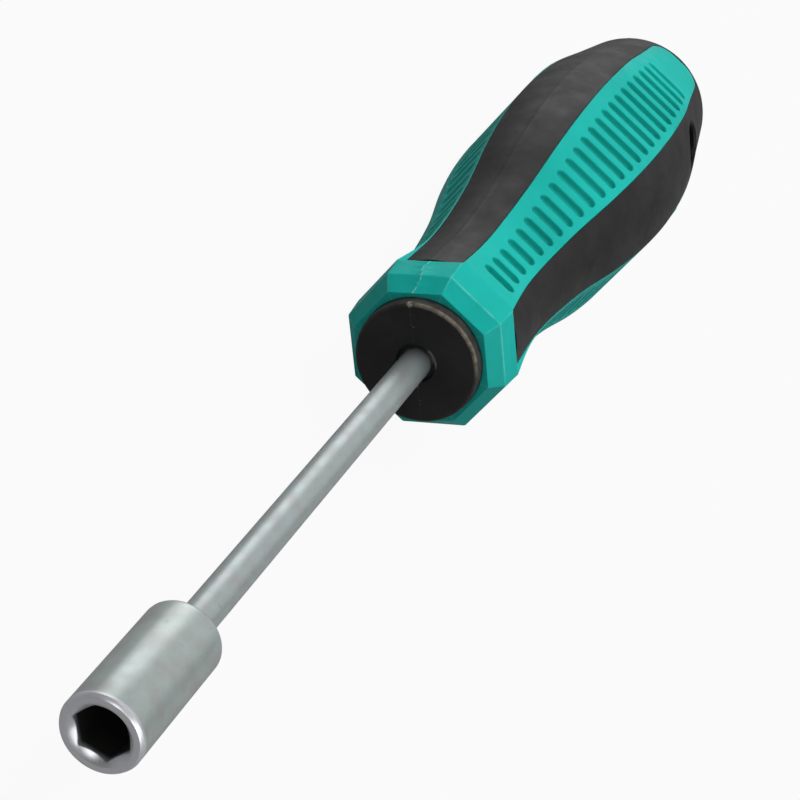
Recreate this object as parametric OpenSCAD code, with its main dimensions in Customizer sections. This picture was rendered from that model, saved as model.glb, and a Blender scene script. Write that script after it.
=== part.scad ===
// Hexagon nut driver: a machined socket on a round shaft, and a two-colour moulded handle.
// Lengths are in millimetres. The origin is the centre of the socket's mouth, +X runs along
// the tool from the mouth to the butt, and +Z points up when the driver lies on a flat strip.

/* [Socket] */
// Width across the flats of the nut that the socket turns
nut_af = 5.5; // [5:0.5:6]
// Play between the nut's flats and the hexagon, both sides together
hex_play = 0.1; // [0.05:0.05:0.2]
// How far the hexagon reaches in from the mouth
hex_depth = 7; // [5:0.5:7]
// Outer diameter of the socket
socket_d = 9; // [8.5:0.5:11]
// Length of the socket along the tool
socket_len = 18.5; // [18:0.5:24]
// How far the lead-in cone opens past the hexagon's flats, on the radius
lead_in = 0.75; // [0.4:0.05:0.9]
// Length of the turned edge at the mouth
mouth_edge_len = 0.5; // [0.3:0.1:0.8]
// Height of the turned edge at the mouth
mouth_edge_h = 0.2; // [0.1:0.05:0.4]
// Radius of the rounded edge at the socket's rear
rear_edge_r = 0.8; // [0.4:0.1:1.2]
// Diameter of the bore behind the hexagon, which clears the end of the screw
screw_bore_d = 5; // [4:0.2:5.4]
// Straight length of that bore
screw_bore_len = 3; // [2:0.5:3]

/* [Shaft] */
// Diameter of the round shaft
shaft_d = 4; // [3.5:0.25:4.5]
// Distance from the socket's mouth to the face of the nose
reach = 86; // [60:5:150]
// How far the shaft is pressed into the socket
press_len = 5.5; // [4:0.5:6]
// Length of the shaft inside the handle
tang_len = 66; // [58:2:70]
// Width over the wings pressed out of the shaft
wing_w = 6.4; // [5:0.2:7]
// Thickness of the wings
wing_t = 2; // [1.4:0.2:2.6]
// Length of each wing
wing_len = 9; // [6:1:10]
// Cut on the edges of the shaft's ends
shaft_edge = 0.4; // [0.2:0.1:0.6]

/* [Nose and collar] */
// Length of the handle from the face of the nose to the end of the butt
handle_len = 112; // [104:2:124]
// Diameter of the round nose
nose_d = 16.4; // [15:0.4:17]
// How far the nose stands out of the collar
nose_proud = 2; // [1:0.1:3]
// Edge cut on the nose
nose_edge = 0.4; // [0.2:0.1:0.6]
// Diameter of the shallow ring round the shaft in the nose
lip_d = 5.2; // [5:0.1:6]
// Depth of that ring
lip_depth = 0.6; // [0.3:0.1:1]
// Across the flats of the octagon at the end of its front bevel
collar_front_af = 20.7; // [19.5:0.5:23]
// Across the flats of the octagon at its rear
collar_rear_af = 21.4; // [20.5:0.5:24]
// Across the flats of the octagon at its front face
bevel_front_af = 17.5; // [17:0.1:19]
// Length of the front bevel
bevel_len = 2.2; // [1.6:0.2:4]
// Length of the collar, bevel included
collar_len = 6.4; // [5.6:0.4:9]

/* [Handle curve] */
// Diameter over the black panels where they leave the collar
root_d = 21.8; // [21:0.2:23]
// Diameter over the panels at the neck
neck_d = 20.6; // [19.6:0.2:21.4]
// Diameter over the panels on the flank
flank_d = 23.4; // [22.6:0.2:24.4]
// Diameter over the panels at the shoulder
shoulder_d = 28.1; // [27:0.1:29]
// Diameter over the panels at the chest
chest_d = 30.9; // [30:0.1:31.6]
// Largest diameter over the panels, at the belly
belly_d = 31.9; // [31:0.1:33]
// Diameter over the panels at the hip
hip_d = 30.6; // [29.6:0.2:31.2]
// Diameter over the panels at the tail
tail_d = 27.1; // [26.1:0.2:28.1]
// Diameter of the butt's dome
dome_d = 24.4; // [22:0.4:26]
// Length of the butt's dome
dome_len = 11.6; // [8:0.4:14]
// Place of the neck, as a share of the grip's length behind the collar
neck_share = 0.134; // [0.1:0.002:0.16]
// Place of the flank, as a share of that length
flank_share = 0.283; // [0.25:0.001:0.31]
// Place of the shoulder, as a share of that length
shoulder_share = 0.411; // [0.38:0.001:0.44]
// Place of the chest, as a share of that length
chest_share = 0.522; // [0.5:0.002:0.56]
// Place of the belly, as a share of that length
belly_share = 0.639; // [0.6:0.001:0.68]
// Place of the hip, as a share of that length
hip_share = 0.783; // [0.75:0.001:0.81]
// Place of the tail, as a share of that length
tail_share = 0.9; // [0.87:0.01:0.93]

/* [Grip strips] */
// Width of a strip at the neck
strip_neck_w = 7.8; // [6.6:0.2:8.4]
// Growth of a strip's half width for each millimetre of the handle's radius
strip_flare_share = 0.42; // [0.3:0.02:0.5]
// Thickness of the soft grip in its channel
strip_t = 1.8; // [1.4:0.1:2]
// How far the edges of a strip stand proud of the black panels
strip_proud = 0.08; // [0.06:0.02:0.3]
// How far a strip runs on past the start of the butt's dome
strip_overrun = 0.3; // [0:0.1:1]
// Corner radius of a strip's end
strip_corner_r = 2.6; // [1.5:0.1:3]
// Distance from one groove to the next
groove_pitch = 3.3; // [2.8:0.02:3.6]
// Width of a groove along the tool
groove_w = 1.6; // [1:0.1:1.8]
// Depth of a groove
groove_depth = 0.9; // [0.5:0.1:1]
// Plain margin beside the grooves
groove_margin = 1.9; // [1.5:0.1:2.4]
// From the collar's rear to the middle of the first groove
groove_start = 4.5; // [3:0.1:6]
// Least distance from the middle of the last groove to the end of the strip
groove_stop = 12; // [8:1:20]

/* [Hanging hole] */
// Diameter of the hole across the handle
hang_hole_d = 6.5; // [5:0.5:8]
// Distance of the hole from the end of the butt
hang_hole_back = 26.5; // [22:0.5:30]
// Depth of the sunk rim at each end of the hole
hang_rim = 0.6; // [0.3:0.1:1]

/* [Inner core] */
// Diameter of the inner core
core_d = 13; // [12:0.5:14]
// Length of the inner core
core_len = 64; // [60:1:66]
// From the face of the nose to the inner core
core_at = 12; // [11:0.5:14]
// Number of key ribs along the core
core_ribs = 4; // [3:1:6]
// Height of a key rib
core_rib_h = 1; // [0.6:0.1:1.2]
// Width of a key rib
core_rib_w = 2.4; // [1.6:0.2:3]
// Number of grooves round the core
core_rings = 3; // [2:1:4]
// Width of a groove round the core
core_ring_w = 4; // [3:0.5:5]

/* [Hidden] */
$fn = 96;

// gap between pieces that are pressed or moulded together, and overrun of a cut
seat_gap = 0.02;
cut = 1;
strip_count = 4;
octagon_sides = 8;
hex_sides = 6;
quarter_turn = 90;
seam_turn = 42.5;
half_strip_step = 360 / strip_count / 2;

// sizes of the socket's inside
hex_af = nut_af + hex_play;
drill_tip_len = screw_bore_d / 2 * tan(31);
press_start = socket_len - press_len;

// places along the tool
collar_front = reach + nose_proud;
collar_rear = collar_front + collar_len;
handle_end = reach + handle_len;
dome_centre = handle_end - dome_len;
dome_join_angle = 10;
dome_start = dome_centre + dome_len * sin(dome_join_angle);
grip_len = dome_start - collar_rear;
belly_at = collar_rear + grip_len * belly_share;
hole_at = handle_end - hang_hole_back;
core_start = reach + core_at;
core_end = core_start + core_len;
tang_end = reach + tang_len;
strip_end = dome_start + strip_overrun;

// gap that keeps one surface just under another, where two pieces of one moulding run into each other
flush_gap = 0.05;

// the curve over the panels runs smoothly through these stations, each [place, radius]
stations = [
    [collar_rear, root_d / 2],
    [collar_rear + grip_len * neck_share, neck_d / 2],
    [collar_rear + grip_len * flank_share, flank_d / 2],
    [collar_rear + grip_len * shoulder_share, shoulder_d / 2],
    [collar_rear + grip_len * chest_share, chest_d / 2],
    [belly_at, belly_d / 2],
    [collar_rear + grip_len * hip_share, hip_d / 2],
    [collar_rear + grip_len * tail_share, tail_d / 2],
    [dome_start, dome_d / 2 * cos(dome_join_angle)]
];
last_station = len(stations) - 1;
curve_bands = 3;
dome_bands = 8;

// slope of the curve at station i, from its neighbours
function slope(i) =
    let (a = stations[max(i - 1, 0)], b = stations[min(i + 1, last_station)])
    (b[1] - a[1]) / (b[0] - a[0]);

// radius at the share t of the way from station i to the next, on a smooth cubic
function blend(i, t) =
    let (h = stations[i + 1][0] - stations[i][0])
    (2 * t * t * t - 3 * t * t + 1) * stations[i][1]
    + (t * t * t - 2 * t * t + t) * h * slope(i)
    + (3 * t * t - 2 * t * t * t) * stations[i + 1][1]
    + (t * t * t - t * t) * h * slope(i + 1);

// index of the stretch of the curve that holds the place x
function stretch(x, i = 0) =
    i >= last_station - 1 || x <= stations[i + 1][0] ? i : stretch(x, i + 1);

// radius over the panels at the place x, dome included
function grip_r(x) =
    x >= dome_start
        ? dome_d / 2 * sqrt(max(0, 1 - pow((x - dome_centre) / dome_len, 2)))
        : let (i = stretch(x), a = stations[i][0], b = stations[i + 1][0])
            blend(i, max(0, (x - a) / (b - a)));

// half width of a strip at the place x
function strip_half_w(x) =
    strip_neck_w / 2 + (grip_r(x) - neck_d / 2) * strip_flare_share;

// height of a flat strip at the place x, when its two edges stand proud of the panels
function edge_h(x) = sqrt(pow(grip_r(x) + strip_proud, 2) - pow(strip_half_w(x), 2));

// share of the full crown that a strip has at the place x: none up to the belly, all at its end
function crown_share(x) = max(0, x - belly_at) / (strip_end - belly_at);

// share of the collar's flat that a strip still follows at the place x, which fades out at the neck
function root_share(x) = pow(max(0, 1 - (x - collar_rear) / (grip_len * neck_share)), 2);

// height of the top of a strip over the tool's axis at the place x
function strip_h(x) =
    edge_h(x)
    + (grip_r(x) + strip_proud - edge_h(x)) * crown_share(x)
    + (collar_rear_af / 2 - flush_gap - edge_h(collar_rear)) * root_share(x);

// places of the bands of the curve, and of the dome behind it
curve_places = [
    for (i = [0 : last_station - 1], k = [0 : curve_bands - 1])
        stations[i][0] + (stations[i + 1][0] - stations[i][0]) * k / curve_bands
];
dome_places = [
    for (k = [0 : dome_bands - 1])
        let (a = dome_join_angle + (quarter_turn - dome_join_angle) * k / dome_bands)
        dome_centre + dome_len * sin(a)
];

// places where a strip's outline bends, half way along each band
strip_places = [
    for (i = [0 : len(curve_places) - 2])
        (curve_places[i] + curve_places[i + 1]) / 2
];

// number of grooves that fit on a strip
groove_count = floor((strip_end - groove_stop - collar_rear - groove_start) / groove_pitch) + 1;

// half the length of the hanging hole's wall, between its two sunk rims
hole_wall_half = sqrt(pow(grip_r(hole_at), 2) - pow(hang_hole_d / 2, 2)) - hang_rim;

// turns a piece, drawn with a panel on top, so that the driver lies on one of its flat strips
module lying() {
    rotate([-half_strip_step, 0, 0])
        children();
}

// turns a profile of [radius, place] points round the tool's axis, from a start under a strip,
// clear of the line that the tool lies on
module turned() {
    rotate([seam_turn, 0, 0])
        rotate([0, quarter_turn, 0])
            rotate_extrude()
                children();
}

// lays a round bar of diameter d along the tool, from one place to another
module bar(d, from, to) {
    translate([from, 0, 0])
        rotate([0, quarter_turn, 0])
            cylinder(d = d, h = to - from);
}

// hexagonal bar, with corners in line with two panels
module hex_bar(af, from, to) {
    translate([from, 0, 0])
        rotate([0, quarter_turn, 0])
            cylinder(d = af / cos(180 / hex_sides), h = to - from, $fn = hex_sides);
}

// repeats what it is given round the tool, once on each strip
module on_each_strip() {
    for (k = [0 : strip_count - 1])
        rotate([half_strip_step * (2 * k + 1), 0, 0])
            children();
}

// turned shape of the socket with its mouth edge and rounded rear
module socket_blank() {
    r = socket_d / 2;
    rear_arc = [
        for (a = [0 : 15 : quarter_turn])
            [r - rear_edge_r + rear_edge_r * cos(a), socket_len - rear_edge_r + rear_edge_r * sin(a)]
    ];
    turned()
        polygon(concat([[0, 0], [r - mouth_edge_h, 0], [r, mouth_edge_len]], rear_arc, [[0, socket_len]]));
}

// lead-in cone, screw bore and its drilled tip
module socket_round_cuts() {
    lead_r = hex_af / 2 + lead_in;
    bore_r = screw_bore_d / 2;
    bore_end = hex_depth + screw_bore_len;
    turned()
        polygon([[0, -cut], [lead_r + cut, -cut], [lead_r - lead_in, lead_in], [0, lead_in]]);
    turned()
        polygon([[0, 0], [bore_r, 0], [bore_r, bore_end], [0, bore_end + drill_tip_len]]);
}

// socket, open to the front for the nut and bored at the rear for the shaft
module socket_head() {
    color("silver")
        lying()
            difference() {
                socket_blank();
                hex_bar(hex_af, -cut, hex_depth);
                socket_round_cuts();
                bar(shaft_d + 2 * seat_gap, press_start, socket_len + cut);
            }
}

// places of the two pairs of wings on the tang
wing_places = [core_start + core_len * 0.1, core_start + core_len * 0.5];

// flat wings pressed out of the shaft, with sloping shoulders
module wings(play = 0) {
    shoulder_share = 0.2;
    half_w = wing_w / 2 + play;
    half_t = wing_t / 2 + play;
    for (x = wing_places)
        translate([x, 0, -half_t])
            linear_extrude(2 * half_t)
                polygon([
                    [-play, 0],
                    [wing_len * shoulder_share - play, half_w],
                    [wing_len * (1 - shoulder_share) + play, half_w],
                    [wing_len + play, 0],
                    [wing_len * (1 - shoulder_share) + play, -half_w],
                    [wing_len * shoulder_share - play, -half_w]
                ]);
}

// round shaft from inside the socket to the end of its tang
module shaft_bar(play = 0) {
    r = shaft_d / 2 + play;
    front = press_start + seat_gap - play;
    rear = tang_end + play;
    turned()
        polygon([
            [0, front],
            [r - shaft_edge, front],
            [r, front + shaft_edge],
            [r, rear - shaft_edge],
            [r - shaft_edge, rear],
            [0, rear]
        ]);
}

module shaft() {
    color("lightgray")
        lying() {
            shaft_bar();
            wings();
        }
}

// core of the handle, with grooves round it and ribs along it that key it to the body
module core_shape(play = 0) {
    r = core_d / 2 + play;
    ring_depth = core_rib_h;
    ring_step = core_len / (core_rings + 1);
    difference() {
        bar(2 * r, core_start - play, core_end + play);
        for (k = [1 : core_rings])
            translate([core_start + ring_step * k - core_ring_w / 2 + play, 0, 0])
                rotate([0, quarter_turn, 0])
                    difference() {
                        cylinder(r = r + cut, h = core_ring_w - 2 * play);
                        translate([0, 0, -cut])
                            cylinder(r = r - ring_depth, h = core_ring_w + 2 * cut);
                    }
    }
    for (k = [0 : core_ribs - 1])
        rotate([360 / core_ribs * k, 0, 0])
            translate([core_start - play, -core_rib_w / 2 - play, 0])
                cube([core_len + 2 * play, core_rib_w + 2 * play, r + core_rib_h]);
}

module inner_core() {
    color([0.2, 0.2, 0.21])
        lying()
            difference() {
                core_shape();
                shaft_bar(seat_gap);
                wings(seat_gap);
            }
}

// outline of the handle without its soft grip: nose, seat of the collar, panels and butt
module body_blank() {
    r = nose_d / 2;
    turned()
        polygon(concat(
            [[0, reach], [r - nose_edge, reach], [r, reach + nose_edge], [r, collar_rear + seat_gap]],
            [for (x = concat(curve_places, dome_places))
                [grip_r(x), x + (x == collar_rear ? seat_gap : 0)]],
            [[0, handle_end]]
        ));
}

// outline of one strip seen from outside, ending in two rounded corners
module strip_outline(play = 0) {
    c = strip_corner_r;
    straight_end = strip_end - c;
    w_end = strip_half_w(straight_end) + play;
    side = [
        for (x = concat([collar_rear - strip_t], strip_places))
            if (x < straight_end)
                [x, strip_half_w(max(x, collar_rear)) + play]
    ];
    corner = [
        for (a = [quarter_turn : -15 : 0])
            [straight_end + play + c * cos(a), w_end - c + c * sin(a)]
    ];
    half = concat(side, corner);
    polygon(concat(half, [for (i = [len(half) - 1 : -1 : 0]) [half[i][0], -half[i][1]]]));
}

// bar as wide as the handle, whose side view follows the strips' top between two offsets from it
module strip_layer(inner, outer) {
    places = [for (x = concat(curve_places, dome_places)) if (x < strip_end + strip_t) x];
    root_h = strip_h(collar_rear);
    rotate([quarter_turn, 0, 0])
        linear_extrude(belly_d, center = true)
            polygon(concat(
                [[collar_rear - strip_t, root_h + inner]],
                [[collar_rear - strip_t, root_h + max(outer, inner + flush_gap)]],
                [for (x = places) [x, strip_h(x) + outer]],
                [for (i = [len(places) - 1 : -1 : 0]) [places[i], strip_h(places[i]) + inner]]
            ));
}

// turned envelope that rounds the top of a strip behind the belly
module strip_crown() {
    places = [for (x = concat(curve_places, dome_places)) if (x > belly_at) x];
    turned()
        polygon(concat(
            [[0, collar_rear - strip_t], [belly_d, collar_rear - strip_t], [belly_d, belly_at]],
            [[belly_d / 2 + strip_proud + flush_gap, belly_at]],
            [for (x = places) [grip_r(x) + strip_proud + flush_gap, x]]
        ));
}

// one plain strip
module strip_blank() {
    intersection() {
        strip_layer(-strip_t, 0);
        linear_extrude(belly_d)
            strip_outline();
        strip_crown();
    }
}

// channel that a strip lies in, open to the outside
module strip_channel() {
    intersection() {
        strip_layer(-strip_t - seat_gap, strip_t);
        linear_extrude(belly_d)
            strip_outline(seat_gap);
    }
}

// slot with round ends across a strip
module groove_outline(half_len) {
    r = groove_w / 2;
    translate([-r, -half_len + r])
        square([groove_w, 2 * (half_len - r)]);
    for (side = [-1, 1])
        translate([0, side * (half_len - r)])
            circle(r = r, $fn = 32);
}

// the row of grooves of one strip, each as deep as the last along the curve
module strip_grooves() {
    intersection() {
        strip_layer(-groove_depth, cut);
        linear_extrude(belly_d)
            for (k = [0 : groove_count - 1]) {
                x = collar_rear + groove_start + groove_pitch * k;
                translate([x, 0])
                    groove_outline(strip_half_w(x) - groove_margin);
            }
    }
}

// octagonal collar: its side profile, extruded across and met from four sides
module collar() {
    half_side = collar_rear_af;
    intersection_for(k = [0 : octagon_sides / 2 - 1]) {
        rotate([360 / octagon_sides * k, 0, 0])
            translate([0, half_side, 0])
                rotate([quarter_turn, 0, 0])
                    linear_extrude(2 * half_side)
                        polygon([
                            [collar_front, -bevel_front_af / 2],
                            [collar_front, bevel_front_af / 2],
                            [collar_front + bevel_len, collar_front_af / 2],
                            [collar_rear, collar_rear_af / 2],
                            [collar_rear, -collar_rear_af / 2],
                            [collar_front + bevel_len, -collar_front_af / 2]
                        ]);
    }
}

// soft grip: the collar and the four grooved strips that run back from it, in one moulding
module soft_grip() {
    color("lightseagreen")
        lying()
            difference() {
                union() {
                    collar();
                    on_each_strip() strip_blank();
                }
                on_each_strip() strip_grooves();
                bar(nose_d + 2 * seat_gap, collar_front - cut, collar_rear + seat_gap);
            }
}

// hole across the handle to hang it up, with a sunk rim at each end
module hanging_hole() {
    r = hang_hole_d / 2;
    half_len = grip_r(hole_at) + cut;
    rim_h = half_len - hole_wall_half;
    // turned by half a panel's angle, so that the cutter's start lies on plain wall
    translate([hole_at, 0, 0])
        rotate([quarter_turn, 22.5, 0])
            rotate_extrude()
                polygon([
                    [0, -half_len],
                    [r + rim_h, -half_len],
                    [r, -hole_wall_half],
                    [r, hole_wall_half],
                    [r + rim_h, half_len],
                    [0, half_len]
                ]);
}

// body of the handle: nose, seat of the collar, four panels between the strips, and butt
module handle_body() {
    color([0.16, 0.16, 0.16])
        lying()
            difference() {
                body_blank();
                on_each_strip() strip_channel();
                shaft_bar(seat_gap);
                bar(lip_d, reach - cut, reach + lip_depth);
                core_shape(seat_gap);
                hanging_hole();
            }
}

socket_head();
shaft();
inner_core();
handle_body();
soft_grip();
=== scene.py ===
"""Studio scene of a hexagon nut driver with a two-colour moulded handle.

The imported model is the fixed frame. Five physical pieces show or hide inside each other: the turned
socket, the drawn shaft, the inner core, the black handle body and the teal soft grip. Sizes in the
classes are in millimetres, as in the part's source, and become metres when a mesh is made. The
pieces are drawn with a black panel on top, and are turned as they are settled, so that the driver
lies on one of its flat strips.
"""
import logging
import math
from dataclasses import dataclass
from enum import Enum
from typing import NamedTuple

import bmesh
import bpy
from mathutils import Matrix, Vector


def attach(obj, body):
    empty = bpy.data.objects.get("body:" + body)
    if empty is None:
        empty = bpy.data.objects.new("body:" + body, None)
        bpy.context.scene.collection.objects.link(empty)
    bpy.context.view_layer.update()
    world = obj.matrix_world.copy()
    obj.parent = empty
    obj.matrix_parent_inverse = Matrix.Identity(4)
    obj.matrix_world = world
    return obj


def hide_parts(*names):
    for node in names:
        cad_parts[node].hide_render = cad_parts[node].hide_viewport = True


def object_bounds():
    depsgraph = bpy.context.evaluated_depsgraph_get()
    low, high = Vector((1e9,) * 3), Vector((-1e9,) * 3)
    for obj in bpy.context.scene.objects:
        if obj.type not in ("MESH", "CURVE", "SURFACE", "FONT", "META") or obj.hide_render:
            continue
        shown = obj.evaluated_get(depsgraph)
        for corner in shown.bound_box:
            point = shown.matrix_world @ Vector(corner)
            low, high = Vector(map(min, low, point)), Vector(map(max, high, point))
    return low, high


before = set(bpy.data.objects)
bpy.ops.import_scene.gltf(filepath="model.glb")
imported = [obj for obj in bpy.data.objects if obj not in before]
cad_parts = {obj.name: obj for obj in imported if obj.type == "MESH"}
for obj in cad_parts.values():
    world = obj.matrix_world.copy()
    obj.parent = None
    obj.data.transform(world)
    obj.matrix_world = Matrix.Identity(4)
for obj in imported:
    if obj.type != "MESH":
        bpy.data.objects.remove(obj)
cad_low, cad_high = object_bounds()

Point = tuple[float, float, float]
Row = list[Point]
Spot = tuple[float, float]
Tone = tuple[int, int, int]
Socket = bpy.types.NodeSocket

LOG = logging.getLogger("nut_driver")
MM = 0.001
MERGE_MM = 0.004
BODY = "root"
LYING = Matrix.Rotation(math.radians(-45), 4, "X")
STRIP_COUNT = 4
STRIP_TURNS = [math.pi / 4 + math.pi / 2 * k for k in range(STRIP_COUNT)]
WHITE = (1.0, 1.0, 1.0, 1.0)

# the hanging hole's axis as the driver lies, which is square to the plane where the mould parts
HOLE_AXIS = (0.0, -0.70711, 0.70711)


# small geometry helpers


def steps(start: float, stop: float, count: int) -> list[float]:
    """Evenly spaced numbers from start to stop, both included, with count gaps between them."""
    return [start + (stop - start) * i / count for i in range(count + 1)]


def around(radius: float, turn: float, x: float) -> Point:
    """A point at the place x and a radius from the tool's axis, at an angle from +Z towards +Y."""
    return (x, radius * math.sin(turn), radius * math.cos(turn))


def on_side(x: float, across: float, height: float, turn: float) -> Point:
    """A point on a flat side: its distance from the side's middle line, and the side's height and angle."""
    s, c = math.sin(turn), math.cos(turn)
    return (x, height * s + across * c, height * c - across * s)


def angle_of(p: Point) -> float:
    """Angle of a point round the tool, from +Z towards +Y."""
    return math.atan2(p[1], p[2])


def rounded_edge(radius: float) -> list[Spot]:
    """A rounded edge, from the wall to the top, as (how far in from the wall, how far under the top)."""
    return [(radius * (1 - math.cos(math.radians(a))), radius * (1 - math.sin(math.radians(a))))
            for a in (0, 30, 60, 90)]


def rounded_profile(corners: list[Point], cuts: int = 4) -> list[Spot]:
    """Rounds the corners of an open profile.

    Args:
        corners: Corners as (place, radius from the axis, fillet radius).
        cuts: Number of gaps in each fillet.

    Returns:
        The profile's points as (place, radius from the axis).
    """
    line: list[Spot] = []
    for i, (x, r, fillet) in enumerate(corners):
        if i in (0, len(corners) - 1) or fillet <= 0:
            line.append((x, r))
            continue
        here = Vector((x, r))
        back = (Vector(corners[i - 1][:2]) - here).normalized()
        ahead = (Vector(corners[i + 1][:2]) - here).normalized()
        half = back.angle(ahead) / 2
        reach = fillet / math.tan(half)
        centre = here + (back + ahead).normalized() * (fillet / math.sin(half))
        first = here + back * reach - centre
        sweep = first.angle_signed(here + ahead * reach - centre)
        for k in range(cuts + 1):
            turned = first.copy()
            turned.rotate(Matrix.Rotation(-sweep * k / cuts, 2))
            line.append(tuple(centre + turned))
    return line


def smooth_min(a: float, b: float, distance: float) -> float:
    """The smaller of two numbers, rounded where they are closer than a distance, as the Math node does."""
    h = max(distance - abs(a - b), 0.0) / distance
    return min(a, b) - h * h * h * distance / 6


def quads(first: int, rows: int, width: int, closed: bool = False) -> list[tuple[int, ...]]:
    """Faces between rows of points.

    Args:
        first: Number of the first point.
        rows: How many rows there are.
        width: How many points each row has.
        closed: True if each row runs round and joins its own start.

    Returns:
        The faces, as numbers of points.
    """
    faces = []
    for start in range(first, first + (rows - 1) * width, width):
        for i in range(width if closed else width - 1):
            a, b = start + i, start + (i + 1) % width
            faces.append((a, b, b + width, a + width))
    return faces


def put_in_scene(name: str, data: bpy.types.ID) -> bpy.types.Object:
    """Makes an object and links it to the scene.

    Args:
        name: Name of the object.
        data: Its mesh, lamp or camera.

    Returns:
        The object, at the origin.
    """
    thing = bpy.data.objects.new(name, data)
    bpy.context.scene.collection.objects.link(thing)
    return thing


class PatchMesh:
    """A mesh put together from patches of quads, whose meeting points are merged at the end."""

    def __init__(self) -> None:
        """Starts an empty mesh."""
        self.points: list[Point] = []
        self.faces: list[tuple[int, ...]] = []

    def patch(self, rows: list[Row], closed: bool = False) -> None:
        """Adds quads between rows of points.

        Args:
            rows: Rows with the same number of points each.
            closed: True if each row runs round and joins its own start.
        """
        width = len(rows[0])
        self.faces += quads(len(self.points), len(rows), width, closed)
        for row in rows:
            assert len(row) == width, (len(row), width)
            self.points.extend(row)

    def fan(self, ring: Row, tip: Point) -> None:
        """Closes a ring of points with triangles that meet in a tip.

        Args:
            ring: The points of the ring.
            tip: Where the triangles meet.
        """
        first, n = len(self.points), len(ring)
        self.points.extend([*ring, tip])
        self.faces.extend((first + i, first + (i + 1) % n, first + n) for i in range(n))

    def rings(self, profile: list[Spot], turns: list[float]) -> list[Row]:
        """Rings of points at the profile's places and radii, with a column at each of the angles."""
        return [[around(r, t, x) for t in turns] for x, r in profile]

    def to_object(self, name: str, sharp: float, extra: bpy.types.Mesh | None = None) -> bpy.types.Object:
        """Makes the Blender object, in metres, with merged points and outward faces.

        Args:
            name: Name of the object.
            sharp: Edges that turn by more than this angle, in degrees, stay sharp.
            extra: A mesh, in metres, that is joined in before the points are merged.

        Returns:
            The object, at the origin.
        """
        mesh = bpy.data.meshes.new(name)
        mesh.from_pydata([tuple(c * MM for c in p) for p in self.points], [], self.faces)
        work = bmesh.new()
        work.from_mesh(mesh)
        if extra is not None:
            work.from_mesh(extra)
        bmesh.ops.remove_doubles(work, verts=work.verts, dist=MERGE_MM * MM)
        bmesh.ops.dissolve_degenerate(work, edges=work.edges, dist=MERGE_MM / 4 * MM)
        loose = [v for v in work.verts if not v.link_faces]
        bmesh.ops.delete(work, geom=loose, context="VERTS")
        bmesh.ops.recalc_face_normals(work, faces=work.faces)
        open_edges = sum(1 for e in work.edges if len(e.link_faces) != 2)
        work.to_mesh(mesh)
        work.free()
        mesh.shade_smooth()
        mesh.set_sharp_from_angle(angle=math.radians(sharp))
        LOG.info("%s: %d faces, %d open edges", name, len(mesh.polygons), open_edges)
        return put_in_scene(name, mesh)


def dress(thing: bpy.types.Object, material: bpy.types.Material) -> None:
    """Gives an object one material in place of any that it has."""
    thing.data.materials.clear()
    thing.data.materials.append(material)


def settle(thing: bpy.types.Object, node: str) -> None:
    """Turns a finished piece as the driver lies, and puts it in place of its CAD node.

    Args:
        thing: The finished object.
        node: Name of the CAD node that it stands for.
    """
    thing.data.transform(LYING)
    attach(thing, BODY)
    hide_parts(node)
    LOG.info("%s stands for %s", thing.name, node)


# node trees and finishes


def srgb(tone: Tone, dim: float = 1.0) -> tuple[float, ...]:
    """Turns a screen colour of 0 to 255, times a factor, into the linear colour that shaders take."""
    parts = [c * dim / 255 for c in tone]
    return (*(v / 12.92 if v <= 0.04045 else ((v + 0.055) / 1.055) ** 2.4 for v in parts), 1.0)


@dataclass(frozen=True)
class Blots:
    """A noise pattern: size of a blot in millimetres, octaves of detail and how strong the finer ones
    are, and the range of the noise that a mask of it spreads over another range.
    """

    size: float
    detail: float
    rough: float = 0.5
    low: float = 0.3
    high: float = 0.7
    least: float = 0.0
    most: float = 1.0


class NodeBench:
    """A node tree of any kind, with short calls to add and join its nodes."""

    def __init__(self, tree: bpy.types.NodeTree) -> None:
        """Takes up a tree and empties it."""
        self.tree = tree
        tree.nodes.clear()

    def fill(self, node: bpy.types.Node, inputs: dict) -> None:
        """Sets or links inputs of a node.

        Args:
            node: The node.
            inputs: Values or sockets for its inputs, by name or number.
        """
        for key, value in inputs.items():
            if isinstance(value, bpy.types.NodeSocket):
                self.tree.links.new(value, node.inputs[key])
            else:
                node.inputs[key].default_value = value

    def node(self, kind: str, inputs: dict | None = None, **settings: object) -> bpy.types.Node:
        """Adds a node.

        Args:
            kind: The node's type name. A shader node's leaves out "ShaderNode".
            inputs: Values or sockets for its inputs, by name or number.
            settings: Values for the node's own settings.

        Returns:
            The node.
        """
        made = self.tree.nodes.new(kind if "Node" in kind else "ShaderNode" + kind)
        for key, value in settings.items():
            setattr(made, key, value)
        self.fill(made, inputs or {})
        return made

    def maths(self, operation: str, a: Socket | float, b: Socket | float = 0.0,
              c: Socket | float = 0.0) -> Socket:
        """A Math node's result, from sockets or numbers."""
        return self.node("Math", {0: a, 1: b, 2: c}, operation=operation).outputs[0]

    def vector(self, operation: str, a: Socket, b: Point = (0.0, 0.0, 0.0)) -> Socket:
        """A Vector Math node's result, which is a number for a length or a dot product."""
        made = self.node("VectorMath", {0: a, 1: b}, operation=operation)
        return made.outputs["Value" if operation in ("LENGTH", "DOT_PRODUCT") else "Vector"]

    def product(self, *shares: Socket) -> Socket:
        """Multiplies masks together.

        Args:
            shares: The masks.

        Returns:
            A mask that is 1 where all of them are.
        """
        out = shares[0]
        for share in shares[1:]:
            out = self.maths("MULTIPLY", out, share)
        return out


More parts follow.
